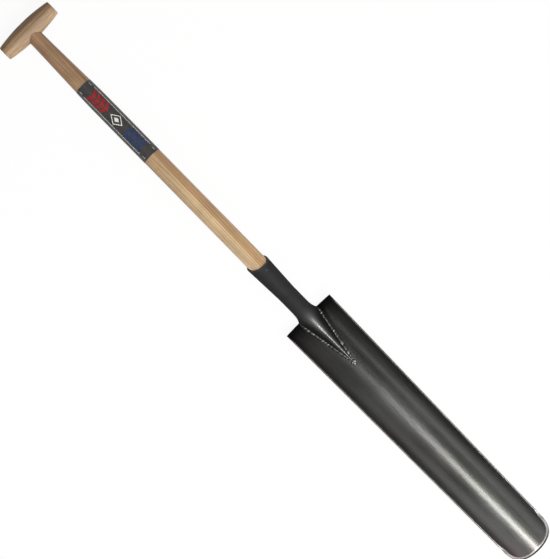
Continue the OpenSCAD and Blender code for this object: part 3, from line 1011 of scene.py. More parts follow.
@dataclass
class Label:
    """The film bent round the front of the shaft, its print and its four staples."""

    sizes: Sizes
    offset: float = 141.0
    length: float = 176.0
    half_angle: float = 80.0
    thickness: float = 0.5
    gap: float = 0.05
    edge_ease: float = 0.14
    edge_lean: float = 0.04
    columns: int = 61
    ink_lift: float = 0.03
    ink_sunk: float = 0.05
    ink_least: float = 0.12
    ink_row: float = 0.9
    red_u: float = 26.0
    navy_u: float = 112.0
    chevrons: int = 4
    chevron_pitch: float = 10.5
    chevron_w: float = 7.2
    chevron_half: float = 11.5
    chevron_lean: float = 0.55
    lozenge_u: float = 87.5
    lozenge: Flat = (15.0, 10.5)
    opening: Flat = (12.4, 8.6)
    core: Flat = (6.0, 4.2)
    split: float = 0.08
    rule_v: float = 14.6
    rule_half: float = 0.45
    rule_inset: float = 17.0
    crown: float = 6.4
    wire_w: float = 1.2
    wire_t: float = 0.7
    wire_bend: float = 0.55
    wire_square: float = 0.55
    leg: float = 9.0
    staple_angle: float = 38.5
    staple_inset: float = 7.4

    @property
    def start_x(self) -> float:
        """The x of the label's end at the grip."""
        return -self.sizes.grip_reach + self.offset

    def film_r(self, x: float, lift: float) -> float:
        """Radius of the film's underside at x, raised by lift."""
        return self.sizes.shaft_r(x) + self.gap + lift

    def build(self) -> list[bpy.types.Object]:
        """Makes the film with its print, and the staples."""
        return [self.build_film(), self.build_staples()]

    def build_film(self) -> bpy.types.Object:
        """Makes the film, with eased edges, and lays the print on it.

        Returns:
            The film.
        """
        skin = Skin(self.sizes)
        half, ease, last = math.radians(self.half_angle), self.edge_ease, self.columns + 3
        end_x = self.start_x + self.length
        rim = [(0.0, ease), (self.edge_lean, self.thickness - ease), (ease, self.thickness)]
        stations = [(self.start_x + inset, lift, inset) for inset, lift in rim]
        stations += [(x, self.thickness, ease) for x in span(self.start_x + 2.0, end_x - 2.0, 45)]
        stations += [(end_x - inset, lift, inset) for inset, lift in reversed(rim)]
        under = span(half, -half, last + 1)[1:-1]
        rows: list[list[int]] = []
        for x, lift, inset in stations:
            trim = half - inset / self.film_r(x, lift)
            angles = [-half, -half] + span(-trim, trim, self.columns) + [half, half] + under
            lifts = [0.0, lift * 0.7] + [lift] * self.columns + [lift * 0.7, 0.0] + [0.0] * len(under)
            rows.append(
                skin.row(self.sizes.round_point(x, self.film_r(x, up), a) for a, up in zip(angles, lifts))
            )
        skin.loft(rows)
        for row in (rows[0], rows[-1]):
            skin.bridge(row[:last + 1], [row[0]] + row[:last:-1] + [row[last]], closed=False)
        for band in self.print_bands():
            self.lay(skin, band)
        materials = [LABEL_INKS[ink].material() for ink in Ink]
        return skin.piece("label_film", materials, Slot.FILM, "label_plate", crease=50.0)

    def chevron(self, start: float, lean: float, v: float) -> Flat:
        """Ends of a chevron at v."""
        left = start - lean * abs(v)
        return (left, left + self.chevron_w)

    def lozenge_side(self, side: float, v: float) -> Flat:
        """Ends of one side of the lozenge's frame.

        Args:
            side: -1 for the side at the grip, 1 for the other.
            v: Place across the label.

        Returns:
            The two ends along the label.
        """
        reaches = [size[0] * max(0.0, 1.0 - abs(v) / size[1]) for size in (self.lozenge, self.opening)]
        ends = [self.lozenge_u + side * (self.split + reach) for reach in reaches]
        return (min(ends), max(ends))

    def core_ends(self, v: float) -> Flat:
        """Ends of the lozenge's core at v."""
        reach = self.core[0] * (1.0 - abs(v) / self.core[1])
        return (self.lozenge_u - reach, self.lozenge_u + reach)

    def rule_ends(self, _: float) -> Flat:
        """Ends of the fine lines, the same at each v."""
        return (self.rule_inset, self.length - self.rule_inset)

    def print_bands(self) -> list[Band]:
        """Lists the printed shapes: red and navy chevrons, a white lozenge between them, and two fine lines.

        Returns:
            The shapes.
        """
        bands: list[Band] = []
        for ink, first, way in ((Ink.RED, self.red_u, 1.0), (Ink.NAVY, self.navy_u, -1.0)):
            for i in range(self.chevrons):
                ends = partial(self.chevron, first + self.chevron_pitch * i, way * self.chevron_lean)
                bands.append(Band(ink, -self.chevron_half, self.chevron_half, ends))
        for side in (-1.0, 1.0):
            ends = partial(self.lozenge_side, side)
            bands.append(Band(Ink.WHITE, -self.lozenge[1], self.lozenge[1], ends))
        bands.append(Band(Ink.WHITE, -self.core[1], self.core[1], self.core_ends))
        for v in (-self.rule_v, self.rule_v):
            bands.append(Band(Ink.WHITE, v - self.rule_half, v + self.rule_half, self.rule_ends))
        return bands

    def lay(self, skin: Skin, band: Band) -> None:
        """Lays one printed shape on the film, as a thin closed slab.

        Args:
            skin: The film's skin.
            band: The shape.
        """
        count = max(2, int((band.high_v - band.low_v) / self.ink_row) | 1)
        rows: list[list[int]] = []
        for v in span(band.low_v, band.high_v, count):
            left, right = band.ends(v)
            spread = max(0.0, self.ink_least - (right - left)) / 2.0
            # A long line needs more points, to follow the shaft's taper.
            along = span(left - spread, right + spread, 25 if right - left > 60.0 else 4)
            ring: list[Point] = []
            for lift, places in ((self.ink_lift, along), (-self.ink_sunk, along[::-1])):
                for u in places:
                    x = self.start_x + u
                    r = self.film_r(x, self.thickness + lift)
                    ring.append(self.sizes.round_point(x, r, v / r))
            rows.append(skin.row(ring))
        skin.loft(rows, ink=band.ink.value)
        for row in (rows[0], rows[-1]):
            half = len(row) // 2
            skin.bridge(row[:half], row[:half - 1:-1], closed=False, ink=band.ink.value)

    def build_staples(self) -> bpy.types.Object:
        """Makes the four staples: flat wire, bent over at both ends of its crown.

        Returns:
            The staples, as one piece.
        """
        sizes = self.sizes
        skin = Skin(sizes)
        for x in (self.start_x + self.staple_inset, self.start_x + self.length - self.staple_inset):
            seat = self.film_r(x + self.crown / 2.0, self.thickness) + self.gap
            for side in (-1.0, 1.0):
                turn = math.radians(side * self.staple_angle)
                rows: list[list[int]] = []
                for centre, across in self.wire_path():
                    ring: list[Point] = []
                    for w, t in self.wire_section():
                        up = seat + centre[1] + across[1] * t
                        ring.append((
                            x + centre[0] + across[0] * t,
                            up * math.sin(turn) + w * math.cos(turn),
                            sizes.axis_z + up * math.cos(turn) - w * math.sin(turn),
                        ))
                    rows.append(skin.row(ring))
                skin.tube(rows)
        return skin.piece("label_staple_wire", [ZINC_WIRE.material()], Slot.WIRE, "label_staples", crease=60.0)

    def wire_path(self) -> list[tuple[Flat, Flat]]:
        """Follows the middle of the wire from one leg over the crown to the other.

        Returns:
            Points along and up from the seat, each with the outward direction across the wire.
        """
        mid, bend = self.wire_t / 2.0, self.wire_bend
        reach = self.crown / 2.0 - mid
        path: list[tuple[Flat, Flat]] = [((-reach, up), (-1.0, 0.0)) for up in (-self.leg, mid - bend)]
        for i in range(1, 7):
            a = math.radians(15.0 * i)
            path.append((
                (-reach + bend - bend * math.cos(a), mid - bend + bend * math.sin(a)),
                (-math.cos(a), math.sin(a)),
            ))
        return path + [((-p[0], p[1]), (-d[0], d[1])) for p, d in reversed(path)]

    def wire_section(self) -> list[Flat]:
        """Gives the wire's flattened round section, as width and thickness from its middle."""
        square = self.wire_square
        return [
            (self.wire_w / 2.0 * math.copysign(abs(math.cos(a)) ** square, math.cos(a)),
             self.wire_t / 2.0 * math.copysign(abs(math.sin(a)) ** square, math.sin(a)))
            for a in full_turn(12)
        ]


@dataclass
class Socket:
    """The riveted socket: slanted mouth, neck, flare, and the ridged tongue that runs down the blade.

    The last fields set the dark scale and painted shade of the neck, the painted shade on the tongue's flanks,
    and the ridge that soil has rubbed bare and that is painted lighter as a highlight line: the ends of each
    change along it, the angles that the shade and the bright line leave round the ridge, and how much is
    darkened and how much bared.
    """

    sizes: Sizes
    around: int = 96
    foot_angle: float = 120.0
    ridge_bend: float = 7.0
    ridge_hollow: float = 0.05
    crest_neck: float = 1.5
    crest_toe: float = 0.11
    crest_l: float = 52.0
    bore_clear: float = 0.3
    rim_l: float = 0.9
    rivet_drop: float = 8.2
    rivet_head_d: float = 7.4
    rivet_around: int = 40
    neck_scale_and_shade: float = -0.45
    painted_flank_shade: float = -0.3
    shade_change_from: float = -18.0
    shade_change_fade: float = 34.0
    shade_clear_angle: float = 38.0
    ridge_rub_and_shine: float = 0.88
    rub_shine_from: float = -14.0
    rub_shine_fade: float = 50.0
    rub_shine_angle: float = 26.0
    rub_shine_widen: float = 16.0
    rub_shine_widen_l: float = 40.0

    def mouth_x(self, angle: float) -> float:
        """The x of the mouth's rim.

        Args:
            angle: Place round the socket in radians, 0 at the front.

        Returns:
            Where the slanted cut meets the socket's outside there.
        """
        s = self.sizes
        lift = s.mouth_rise / s.socket_r(-s.socket_l) * math.cos(angle - math.radians(s.mouth_turn))
        return (-s.socket_l + lift * (s.neck_r - s.socket_slope * s.neck_l)) / (1.0 + lift * s.socket_slope)

    def ridge_z(self, x: float) -> float:
        """Height of the ridge: level on the neck, then bent into a fall that eases a little at the toe.

        Args:
            x: Place along the tongue.

        Returns:
            The height.
        """
        s = self.sizes
        top = s.axis_z + s.neck_r
        slope = (top - s.trough_z(s.tongue_l, 0.0) - s.toe_h) / (s.tongue_l - s.ridge_start)
        fall = slope * self.ridge_bend * math.log1p(math.exp((x - s.ridge_start) / self.ridge_bend))
        t = clamp(x / s.tongue_l)
        return top - fall - self.ridge_hollow * s.tongue_l * t * t * (1.0 - t)

    def foot_y(self, x: float) -> float:
        """Half width of the tongue's feet at x."""
        s = self.sizes
        return (s.tongue_w + (s.toe_w - s.tongue_w) * max(0.0, x) / s.tongue_l) / 2.0

    def arch(self, x: float, u: float) -> Flat:
        """A point of the tongue's arch.

        Args:
            x: Place along the tongue.
            u: From -1 at one foot over 0 at the ridge to 1 at the other foot.

        Returns:
            Its y and z.
        """
        s = self.sizes
        fold = s.ridge_fold * smooth((x + s.fold_l / 6.0) / s.fold_l)
        crest = self.crest_toe + (self.crest_neck - self.crest_toe) * (1.0 - smooth(x / self.crest_l))
        eased = (math.sqrt(u * u + crest ** 2) - crest) / (math.sqrt(1.0 + crest ** 2) - crest)
        half = self.foot_y(x)
        low = s.trough_z(max(0.0, x), half) + s.seat_gap
        quarter = math.pi / 2.0
        across = (1.0 - fold) * math.sin(quarter * u) + fold * u
        up = (1.0 - fold) * math.cos(quarter * u) + fold * (1.0 - eased)
        return (half * across, low + (self.ridge_z(x) - low) * up)

    def skin_point(self, x: float, angle: float) -> Point:
        """A point of the flared neck and the tongue.

        Args:
            x: Place along them.
            angle: Place round them in degrees, 0 at the front.

        Returns:
            The point, round on the neck and footed on the blade below it.
        """
        s = self.sizes
        share = clamp((x + s.flare_l) / s.flare_l) ** 2
        if abs(angle) <= self.foot_angle:
            y, z = self.arch(x, angle / self.foot_angle)
        else:
            y = math.copysign(self.foot_y(x) * (180.0 - abs(angle)) / (180.0 - self.foot_angle), angle)
            z = s.trough_z(max(0.0, x), y) + s.seat_gap
        neck = s.round_point(x, s.neck_r, math.radians(angle))
        return (x, neck[1] + (y - neck[1]) * share, neck[2] + (z - neck[2]) * share)

    def rubbed(self, x: float, angle: float) -> float:
        """The dark scale and painted shade on the flare and the tongue, and the ridge rubbed bare and painted
        lighter as a highlight line.

        Args:
            x: Place along them.
            angle: Place round them in degrees, 0 at the front.

        Returns:
            The share of bared and lightened steel, below 0 where scale and painted shade darken it.
        """
        on_tongue = smooth((x - self.shade_change_from) / self.shade_change_fade)
        near_ridge = math.exp(-((angle / self.shade_clear_angle) ** 2))
        # Dark scale and painted shade on the body and neck, lifted near the ridge once on the tongue.
        scale = self.neck_scale_and_shade * (1.0 - on_tongue * near_ridge)
        # The tongue's flanks beside the ridge are painted darker as shade.
        scale += self.painted_flank_shade * on_tongue * (1.0 - near_ridge)
        # The ridge is rubbed bare and painted lighter as a highlight line.
        spread = self.rub_shine_angle + self.rub_shine_widen * (1.0 - smooth(x / self.rub_shine_widen_l))
        bare_and_painted_light = self.ridge_rub_and_shine * smooth((x - self.rub_shine_from) / self.rub_shine_fade)
        return scale + bare_and_painted_light * math.exp(-((angle / spread) ** 2))

    def build(self) -> list[bpy.types.Object]:
        """Makes the socket with its tongue, and the rivet."""
        return [self.build_socket(), self.build_rivet()]

    def build_socket(self) -> bpy.types.Object:
        """Makes the socket from the bottom of its bore, over its mouth, to the toe of its tongue.

        Returns:
            The socket.
        """
        s = self.sizes
        skin = Skin(s)
        degrees = [-180.0 + 360.0 * i / self.around for i in range(self.around)]
        angles = [math.radians(d) for d in degrees]
        wall = s.socket_wall
        bottom_x = self.bore_clear - s.neck_l
        rows = [skin.row(s.round_point(bottom_x, s.socket_r(bottom_x) - wall, a) for a in angles)]
        # The rim, as its distance from the cut, its depth and how bare it is: sharp inside and filed outside.
        rim = [
            (0.3, wall, 0.0), (0.0, wall - 0.3, 0.25), (0.0, 0.9, 0.35), (0.25, 0.3, 0.4),
            (self.rim_l, 0.0, 0.1),
        ]
        for inset, depth, ground in rim:
            places = [(self.mouth_x(a) + inset, a) for a in angles]
            rows.append(skin.row((s.round_point(x, s.socket_r(x) - depth, a) for x, a in places), ground))
        # The body and neck carry dark scale and painted shade.
        for share in span(0.05, 1.0, 16):
            ring: list[Point] = []
            for a in angles:
                start = self.mouth_x(a) + self.rim_l
                x = start + (-s.neck_l - start) * share
                ring.append(s.round_point(x, s.socket_r(x), a))
            rows.append(skin.row(ring, self.neck_scale_and_shade))
        for x in span(-s.neck_l + 6.0, -s.flare_l - 2.0, 8):
            rows.append(skin.row((s.round_point(x, s.neck_r, a) for a in angles), self.neck_scale_and_shade))
        # The flare and tongue take painted shade on their flanks and a painted highlight along the rubbed ridge.
        for x in span(-s.flare_l, s.lap_l, 22) + span(s.lap_l + 1.5, s.tongue_l, 70):
            ground = [self.rubbed(x, d) for d in degrees]
            rows.append(skin.row((self.skin_point(x, d) for d in degrees), ground))
        skin.tube(rows)
        return skin.piece("socket_and_tongue", [FORGED_SOCKET.material()], Slot.SOCKET, "socket", crease=50.0)

    def build_rivet(self) -> bpy.types.Object:
        """Makes the rivet: two heads dressed to the socket's round, joined by the shank.

        Returns:
            The rivet.
        """
        s, around = self.sizes, self.rivet_around
        middle_x = s.mouth_low_x + self.rivet_drop
        # A head's section from its middle to its shank, as shares of its radius and heights over the socket.
        section = ((0.12, 0.13), (0.5, 0.12), (0.8, 0.1), (0.93, 0.06), (1.0, -0.05), (0.62, -1.6))
        skin = Skin(s)
        shank: list[list[int]] = []
        for side in (0.0, math.pi):
            rows: list[list[int]] = []
            for share, lift in section:
                r = self.rivet_head_d / 2.0 * share
                ring: list[Point] = []
                for a in full_turn(around):
                    x = middle_x + r * math.cos(a)
                    round_r = s.socket_r(x)
                    turn = math.radians(s.mouth_turn) + side + r * math.sin(a) / round_r
                    ring.append(s.round_point(x, round_r + lift, turn))
                rows.append(skin.row(ring, 0.25 if share > 0.9 else 0.0))
            skin.loft(rows)
            skin.cap(rows[0])
            shank.append(rows[-1])
        skin.bridge(shank[0], [shank[1][-i % around] for i in range(around)])
        return skin.piece("socket_rivet_heads", [RIVET_STEEL.material()], Slot.RIVET, "socket_rivet")


@dataclass
class Blade:
    """The long hollow blade, with its ground tip and its cut edges.

    The scale fields say how much dark scale the heat of welding left at the top edge and over what length it
    fades, and the rub fields how bright digging keeps the edges and how far in from them.
    """

    sizes: Sizes
    nose_l: float = 46.0
    bevel_l: float = 4.4
    bevel_fade: float = 24.0
    overrun: float = 0.15
    scale: float = 0.6
    scale_l: float = 24.0
    rub: float = 0.8
    rub_l: float = 1.1
    columns: int = 73
    rows: int = 64
    crowding: float = 1.8

    @property
    def reach(self) -> float:
        """Half angle in degrees of the sheet before its edges are eased."""
        return self.sizes.blade_half_angle + self.overrun

    def nose_x(self, turn: float) -> float:
        """Length of the sheet at a turn across it, 0 in its middle, in radians."""
        return self.sizes.blade_l - self.nose_l * (1.0 - math.cos(turn))

    def point(self, share: float, turn: float, depth: float, nose_in: float, side_in: float) -> Point:
        """A point of the sheet.

        Args:
            share: Place along it, from 0 at the top edge to 1 at the nose.
            turn: Place across it in radians, 0 in its middle.
            depth: Place through it, from 0 at its back to 1 at its hollow face.
            nose_in: How far the nose is drawn in there.
            side_in: How far the sides and the top edge are drawn in there.

        Returns:
            The point.
        """
        s = self.sizes
        end = self.nose_x(turn) - nose_in * math.cos(turn)
        h = side_in + (end - side_in) * share
        r = s.blade_r(h) - s.blade_t * depth
        at_nose = smooth((h - s.blade_l + self.nose_l) / self.bevel_fade + 1.0) * abs(math.sin(turn))
        drawn_in = side_in + (nose_in - side_in) * at_nose
        angle = math.radians(self.reach * math.sin(turn))
        angle *= 1.0 - drawn_in / (r * math.radians(s.blade_half_angle))
        return s.blade_point(r, angle, h)

    def ground(self, share: float, turn: float) -> float:
        """How bare the sheet's faces are.

        Args:
            share: Place along it, from 0 at the top edge to 1 at the nose.
            turn: Place across it in radians, 0 in its middle.

        Returns:
            Above 0 where digging rubs it by the nose and the sides, below 0 where the welds left scale.
        """
        s = self.sizes
        side = s.blade_tip_r * math.radians(s.blade_half_angle - abs(self.reach * math.sin(turn)))
        near = min(self.nose_x(turn) * (1.0 - share), side)
        worn = self.rub * math.exp(-((near / self.rub_l) ** 2)) if share > 0.0 else 0.0
        return worn - self.scale * math.exp(-s.blade_l * share / self.scale_l)

    def build(self) -> bpy.types.Object:
        """Makes the sheet: its back, its hollow face, and the eased and ground edge round them.

        Returns:
            The blade.
        """
        skin = Skin(self.sizes)
        last_turn = math.asin(self.sizes.blade_half_angle / self.reach)
        turns = span(-last_turn, last_turn, self.columns)
        shares = [1.0 - (1.0 - i / (self.rows - 1)) ** self.crowding for i in range(self.rows)]
        border = [(0, j) for j in range(self.columns)]
        border += [(i, self.columns - 1) for i in range(1, self.rows)]
        border += [(self.rows - 1, j) for j in range(self.columns - 2, -1, -1)]
        border += [(i, 0) for i in range(self.rows - 2, 0, -1)]
        rims: list[list[int]] = []
        for depth, nose_in, side_in in ((0.0, 0.4, 0.5), (1.0, self.bevel_l, 0.6)):
            grid: list[list[int]] = []
            for share in shares:
                points = (self.point(share, turn, depth, nose_in, side_in) for turn in turns)
                grid.append(skin.row(points, [self.ground(share, turn) for turn in turns]))
            skin.loft(grid, closed=False)
            rims.append([grid[i][j] for i, j in border])
        # Round the edge from back to face: depth, how far nose and sides are drawn in, and how bare each is.
        # The lip at the nose is painted near-black as a shadow line along the edge, the tip's bevel keeps some
        # dark oxide, and the cut of the sides is ground bright.
        bevel = self.bevel_l
        edge = [
            (0.04, 0.15, 0.2, -1.0, 0.0), (0.12, 0.0, 0.06, -1.0, 0.0), (0.3, 0.36, 0.0, -1.0, 0.0),
            (0.6, 0.5 * bevel, 0.0, -1.0, 0.5), (0.64, 0.54 * bevel, 0.02, -0.4, 0.45),
            (0.84, 0.76 * bevel, 0.12, -0.4, 0.45), (0.96, 0.93 * bevel, 0.34, -0.2, 0.4),
        ]
        loops = [rims[0]]
        for depth, nose_in, side_in, nose_shade_and_oxide, side_bare in edge:
            points = (self.point(shares[i], turns[j], depth, nose_in, side_in) for i, j in border)
            bare_and_painted_light = [
                nose_shade_and_oxide + (side_bare - nose_shade_and_oxide) * abs(math.sin(turns[j])) ** 3 if i > 0 else -self.scale
                for i, j in border
            ]
            loops.append(skin.row(points, bare_and_painted_light))
        skin.loft(loops + [rims[1]])
        return skin.piece("blade_sheet", [BLADE_SHEET.material()], Slot.BLADE, "blade", crease=44.0)


@dataclass
class Welds:
    """The welds that hold the tongue: a rippled fillet on each side, a drop at the toe, a bead behind.

    A hand moves unevenly: sway and drift say how far the ripples stray from their pitch and over what lengths,
    weakest and range how strong they are, and the crown fields how each rises, falls and peaks at about 1.
    """

    sizes: Sizes
    socket: Socket
    leg: float = 3.2
    climb: float = 0.6
    steepness: float = 1.3
    pitch: float = 7.0
    sway: float = 0.45
    sway_l: float = 9.0
    drift: float = 0.3
    drift_l: float = 23.0
    ripple: float = 0.18
    weakest: float = 0.3
    strength_range: float = 1.1
    crown_rise: float = 0.6
    crown_fall: float = 0.35
    crown_gain: float = 1.55
    end: float = 1.5
    end_size: float = 0.55
    end_blunt: float = 0.08
    run_in: float = 18.0
    gap: float = 0.1
    drop_r: float = 6.5
    drop_h: float = 3.2
    drop_low: float = 0.62
    spatter: int = 7
    golden_angle: float = 137.5
    # side_bare sets the painted highlight on each ripple's crown.
    side_bare: float = 0.27
    back_bare: float = 0.2

    def build(self) -> list[bpy.types.Object]:
        """Makes the four welds.

        Returns:
            The pieces.
        """
        metal = WELD_METAL.material()
        return [
            self.build_side(Side.LEFT, "weld_left", metal),
            self.build_side(Side.RIGHT, "weld_right", metal),
            self.build_drop(metal),
            self.build_back(metal),
        ]

    def fillet(self, x: float, size: float, bulge: float) -> list[Flat]:
        """A section of a side weld.

        Args:
            x: Place along the tongue.
            size: Leg of the fillet there.
            bulge: How full the bead is, about 1.

        Returns:
            Its y and z, from the corner up the tongue's flank and over the bead to the sheet.
        """
        s = self.sizes
        foot = self.socket.foot_y(x)
        seat = s.trough_z(x, foot)
        rise = self.socket.ridge_z(x) - seat - s.seat_gap
        # The bead climbs only part of the flank, which is steepest at its foot.
        flank_y, flank_z = self.socket.arch(x, 1.0 - min(size, self.climb * rise) / (self.steepness * rise))
        flank = (flank_y + 0.5 * self.gap, flank_z)
        corner = (foot + 0.5 * self.gap, seat + self.gap)
        edge = (foot + size, s.trough_z(x, foot + size) + 0.4 * self.gap)
        pull = (foot + 0.85 * size * bulge, flank_z + 0.12 * size * bulge)
        return [corner] + bow(flank, pull, edge, 10)

    def build_side(self, side: Side, name: str, metal: bpy.types.Material) -> bpy.types.Object:
        """Makes a side weld, laid in overlapping ripples whose crowns are painted lighter as highlights.

        Args:
            side: Which side of the tongue.
            name: The node that it stands for.
            metal: Its material.

        Returns:
            The weld.
        """
        s = self.sizes
        skin = Skin(s)
        rows: list[list[int]] = []
        offset = 50 if side is Side.RIGHT else 0
        for x in span(self.end, s.tongue_l - self.end, 170):
            beat = x / self.pitch + self.sway * math.sin(x / self.sway_l + offset)
            beat += self.drift * math.sin(x / self.drift_l)
            phase = beat % 1.0
            strength = self.weakest + self.strength_range * scatter(int(beat) + offset)
            crown = self.crown_gain * phase ** self.crown_rise * (1.0 - phase) ** self.crown_fall
            swell = 1.0 + self.ripple * (2.0 * crown - 1.0) * strength
            from_end = min(x, s.tongue_l - x) - self.end
            taper = self.end_size + (1.0 - self.end_size) * smooth(from_end / self.run_in)
            taper *= math.sqrt(min(1.0, self.end_blunt + from_end / self.leg))
            section = self.fillet(x, self.leg * swell * taper, 0.9 + 0.2 * crown * strength)
            # Each ripple's crown is painted lighter as a highlight.
            bare_and_painted_light = self.side_bare * (crown * strength) ** 2
            rows.append(skin.row(((x, side.value * y, z) for y, z in section), bare_and_painted_light))
        skin.tube(rows)
        return skin.piece(f"{name}_bead", [metal], Slot.WELD, name, crease=60.0)

    def build_drop(self, metal: bpy.types.Material) -> bpy.types.Object:
        """Makes the drop of weld at the toe, a low uneven dome whose lumps are painted lighter as highlights.

        Args:
            metal: Its material.

        Returns:
            The drop.
        """
        s = self.sizes
        skin = Skin(s)
        centre_x = s.tongue_l + self.drop_r / 2.0
        sunk = self.drop_r - self.drop_h
        wide = math.sqrt(self.drop_r ** 2 - sunk ** 2)
        # Spatter froze on the drop in small, uneven lumps, each with its x, its y and its radius.
        lumps: list[Point] = []
        for i in range(self.spatter):
            turn = math.radians(self.golden_angle * i + 70.0 * scatter(i))
            out = 0.86 * wide * math.sqrt((i + 0.4) / self.spatter)
            size = wide * (0.2 + 0.2 * scatter(i + 60))
            lumps.append((centre_x + 0.8 + out * math.cos(turn), out * math.sin(turn), size))
        rows: list[list[int]] = []
        for share in span(1.0, 0.06, 18):
            dome = math.sqrt(max(0.0, self.drop_r ** 2 - (wide * share) ** 2)) - sunk
            ring: list[Point] = []
            bare_and_painted_light: list[float] = []
            for a in full_turn(60):
                r = wide * share * (0.95 + 0.05 * math.sin(3.0 * a + 1.0))
                x, y = max(centre_x + r * math.cos(a), s.tongue_l + self.gap), r * math.sin(a)
                lump = max(1.0 - math.hypot(x - bx, y - by) ** 2 / br ** 2 for bx, by, br in lumps)
                up = dome * (self.drop_low + (1.0 - self.drop_low) * max(0.0, lump))
                ring.append((x, y, s.trough_z(x, y) + 0.4 * self.gap + up))
                # The lumps are painted lighter as highlights.
                bare_and_painted_light.append(smooth(1.5 * lump) * (1.0 - share ** 8))
            rows.append(skin.row(ring, bare_and_painted_light))
        skin.tube(rows)
        return skin.piece("weld_toe_drop", [metal], Slot.WELD, "weld_toe", crease=70.0)

    def build_back(self, metal: bpy.types.Material) -> bpy.types.Object:
        """Makes the bead behind the neck, along the blade's top edge.

        Args:
            metal: Its material.

        Returns:
            The bead.
        """
        s = self.sizes
        skin = Skin(s)
        half = s.tongue_w / 3.0
        rows: list[list[int]] = []
        for y in span(-half, half, 61):
            crown = abs(math.sin(math.pi * y / self.pitch + 0.6))
            size = self.leg * (1.0 - 0.6 * (y / half) ** 4) * (0.84 + 0.16 * crown)
            low = s.blade_top_r - math.sqrt(s.blade_top_r ** 2 - y * y) + s.blade_t / 5.0
            high = s.trough_z(0.0, y) - self.gap / 2.0
            bead = bow((-size, high), (-0.95 * size, low + 0.5), (-self.gap, low), 8)
            section = [(-self.gap, low), (-self.gap, high)] + bead[:-1]
            rows.append(skin.row(((x, y, z) for x, z in section), self.back_bare * crown))
        skin.tube(rows)
        return skin.piece("weld_back_bead", [metal], Slot.WELD, "weld_back", crease=60.0)


@dataclass(frozen=True)
class Lamp:
    """A rectangular soft lamp: where it hangs, what it faces, its length along the tool and its width."""

    name: str
    at: Point
    towards: Point
    size: Flat
    watts: float

    def hang(self) -> None:
        """Hangs the lamp in the studio."""
        lamp = bpy.data.lights.new(self.name, "AREA")
        lamp.shape = "RECTANGLE"
        lamp.size, lamp.size_y = self.size
        lamp.energy = self.watts
        hung = in_scene(self.name, lamp)
        hung.location = self.at
        x, y, z = (t - a for t, a in zip(self.towards, self.at))
        hung.rotation_euler = (math.atan2(y, -z), -math.atan2(x, math.hypot(y, z)), 0.0)


LAMPS = (
    Lamp("key_softbox", (3.5, 0.0, 2.4), (0.0, 0.0, 0.0), (3.4, 5.6), 200.0),
    Lamp("blade_strip", (1.8, 0.0, 3.0), (0.4, 0.0, 0.0), (1.3, 0.6), 58.0),
    Lamp("left_fill", (1.9, -2.8, 1.7), (0.3, 0.0, 0.0), (2.0, 1.8), 8.0),
    Lamp("right_fill", (1.9, 2.8, 1.7), (0.3, 0.0, 0.0), (2.0, 1.8), 12.0),
    Lamp("side_strip", (0.8, -2.3, 2.1), (0.25, 0.0, 0.0), (0.9, 0.4), 2.4),
    Lamp("grip_side_card", (-2.3, 0.0, 3.1), (0.2, 0.0, 0.0), (1.6, 1.2), 12.0),
)


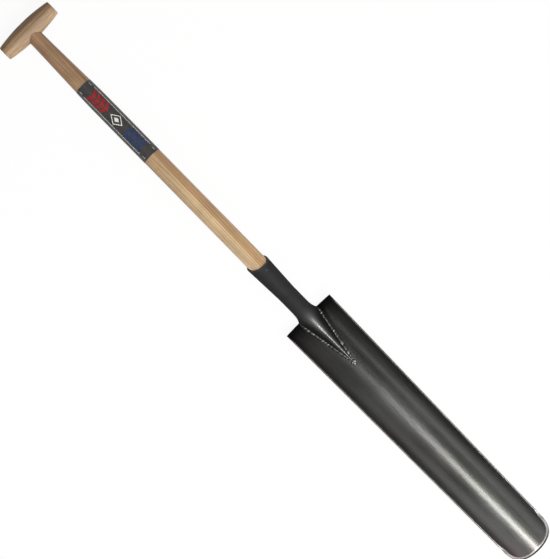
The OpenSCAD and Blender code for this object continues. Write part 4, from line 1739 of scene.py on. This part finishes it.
@dataclass
class Studio:
    """The paper floor, the soft lamps and the camera that looks straight down, in metres."""

    frame_px: int = 550
    mm_per_px: float = 1.8
    distance: float = 2.2589
    view_turn: float = 45.541
    centre: Flat = (-0.0191, 0.0026)
    sensor_mm: float = 36.0
    floor_half: float = 30.0
    floor_z: float = -0.0004
    air: str = "#f6f7fa"
    tip_levels: Levels = (0.05, 0.5, 0.12, 0.44)
    grip_levels: Levels = (-0.7, -0.15, 0.16, 0.0)

    def build(self, axis_height: float) -> None:
        """Sets up floor, light and camera.

        Args:
            axis_height: Height of the spade's axis in metres, where the photo's scale holds.
        """
        self.build_floor()
        self.build_world()
        for lamp in LAMPS:
            lamp.hang()
        self.build_camera(axis_height)

    def build_floor(self) -> None:
        """Lays the paper just under the spade."""
        half = self.floor_half
        mesh = bpy.data.meshes.new("studio_floor")
        corners = [(x * half, y * half, self.floor_z) for x, y in ((-1, -1), (1, -1), (1, 1), (-1, 1))]
        mesh.from_pydata(corners, [], [(0, 1, 2, 3)])
        mesh.materials.append(STUDIO_PAPER.material())
        floor = in_scene("studio_floor", mesh)

    def build_world(self) -> None:
        """Lights the room softly, brightest on the side of the blade's tip and dimmest across the tool."""
        world = bpy.data.worlds.new("studio_room")
        world.use_nodes = True
        tree = world.node_tree
        tree.nodes.clear()
        direction = add(tree, "TexCoord")["Generated"]
        towards_tip = add(tree, "SeparateXYZ", links={0: direction})["X"]
        at_tip, at_grip = (
            add(tree, "MapRange", {"interpolation_type": "SMOOTHSTEP", "levels": levels}, {0: towards_tip})[0]
            for levels in (self.tip_levels, self.grip_levels)
        )
        level = add(tree, "Math", {"operation": "ADD"}, {0: at_tip, 1: at_grip})[0]
        room = add(tree, "Background", {"Color": linear(self.air)}, {"Strength": level})[0]
        add(tree, "OutputWorld", links={"Surface": room})
        bpy.context.scene.world = world

    def build_camera(self, axis_height: float) -> None:
        """Hangs the camera over the tool, turned so that the tool runs down to the right.

        Args:
            axis_height: Height of the spade's axis in metres.
        """
        camera = bpy.data.cameras.new("portrait_camera")
        camera.sensor_fit = "HORIZONTAL"
        camera.sensor_width = self.sensor_mm
        camera.lens = self.sensor_mm * self.distance / (self.frame_px * self.mm_per_px * MM)
        camera.clip_end = 100.0
        held = in_scene("portrait_camera", camera)
        held.location = (self.centre[0], self.centre[1], axis_height + self.distance)
        held.rotation_euler = (0.0, 0.0, math.radians(self.view_turn))
        bpy.context.scene.camera = held


def main() -> None:
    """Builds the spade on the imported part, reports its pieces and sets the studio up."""
    logging.basicConfig(level=logging.INFO, format="%(name)s: %(message)s")
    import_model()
    bpy.context.scene.view_settings.view_transform = "Standard"
    sizes = Sizes()
    grip = Grip(sizes)
    socket = Socket(sizes)
    pieces = grip.build()
    pieces.append(Shaft(sizes, grip).build())
    pieces.extend(Label(sizes).build())
    pieces.extend(socket.build())
    pieces.append(Blade(sizes).build())
    pieces.extend(Welds(sizes, socket).build())
    for piece in pieces:
        LOG.info("%s: %d faces", piece.name, len(piece.data.polygons))
    Studio().build(sizes.axis_z * MM)


if __name__ == "__main__":
    main()
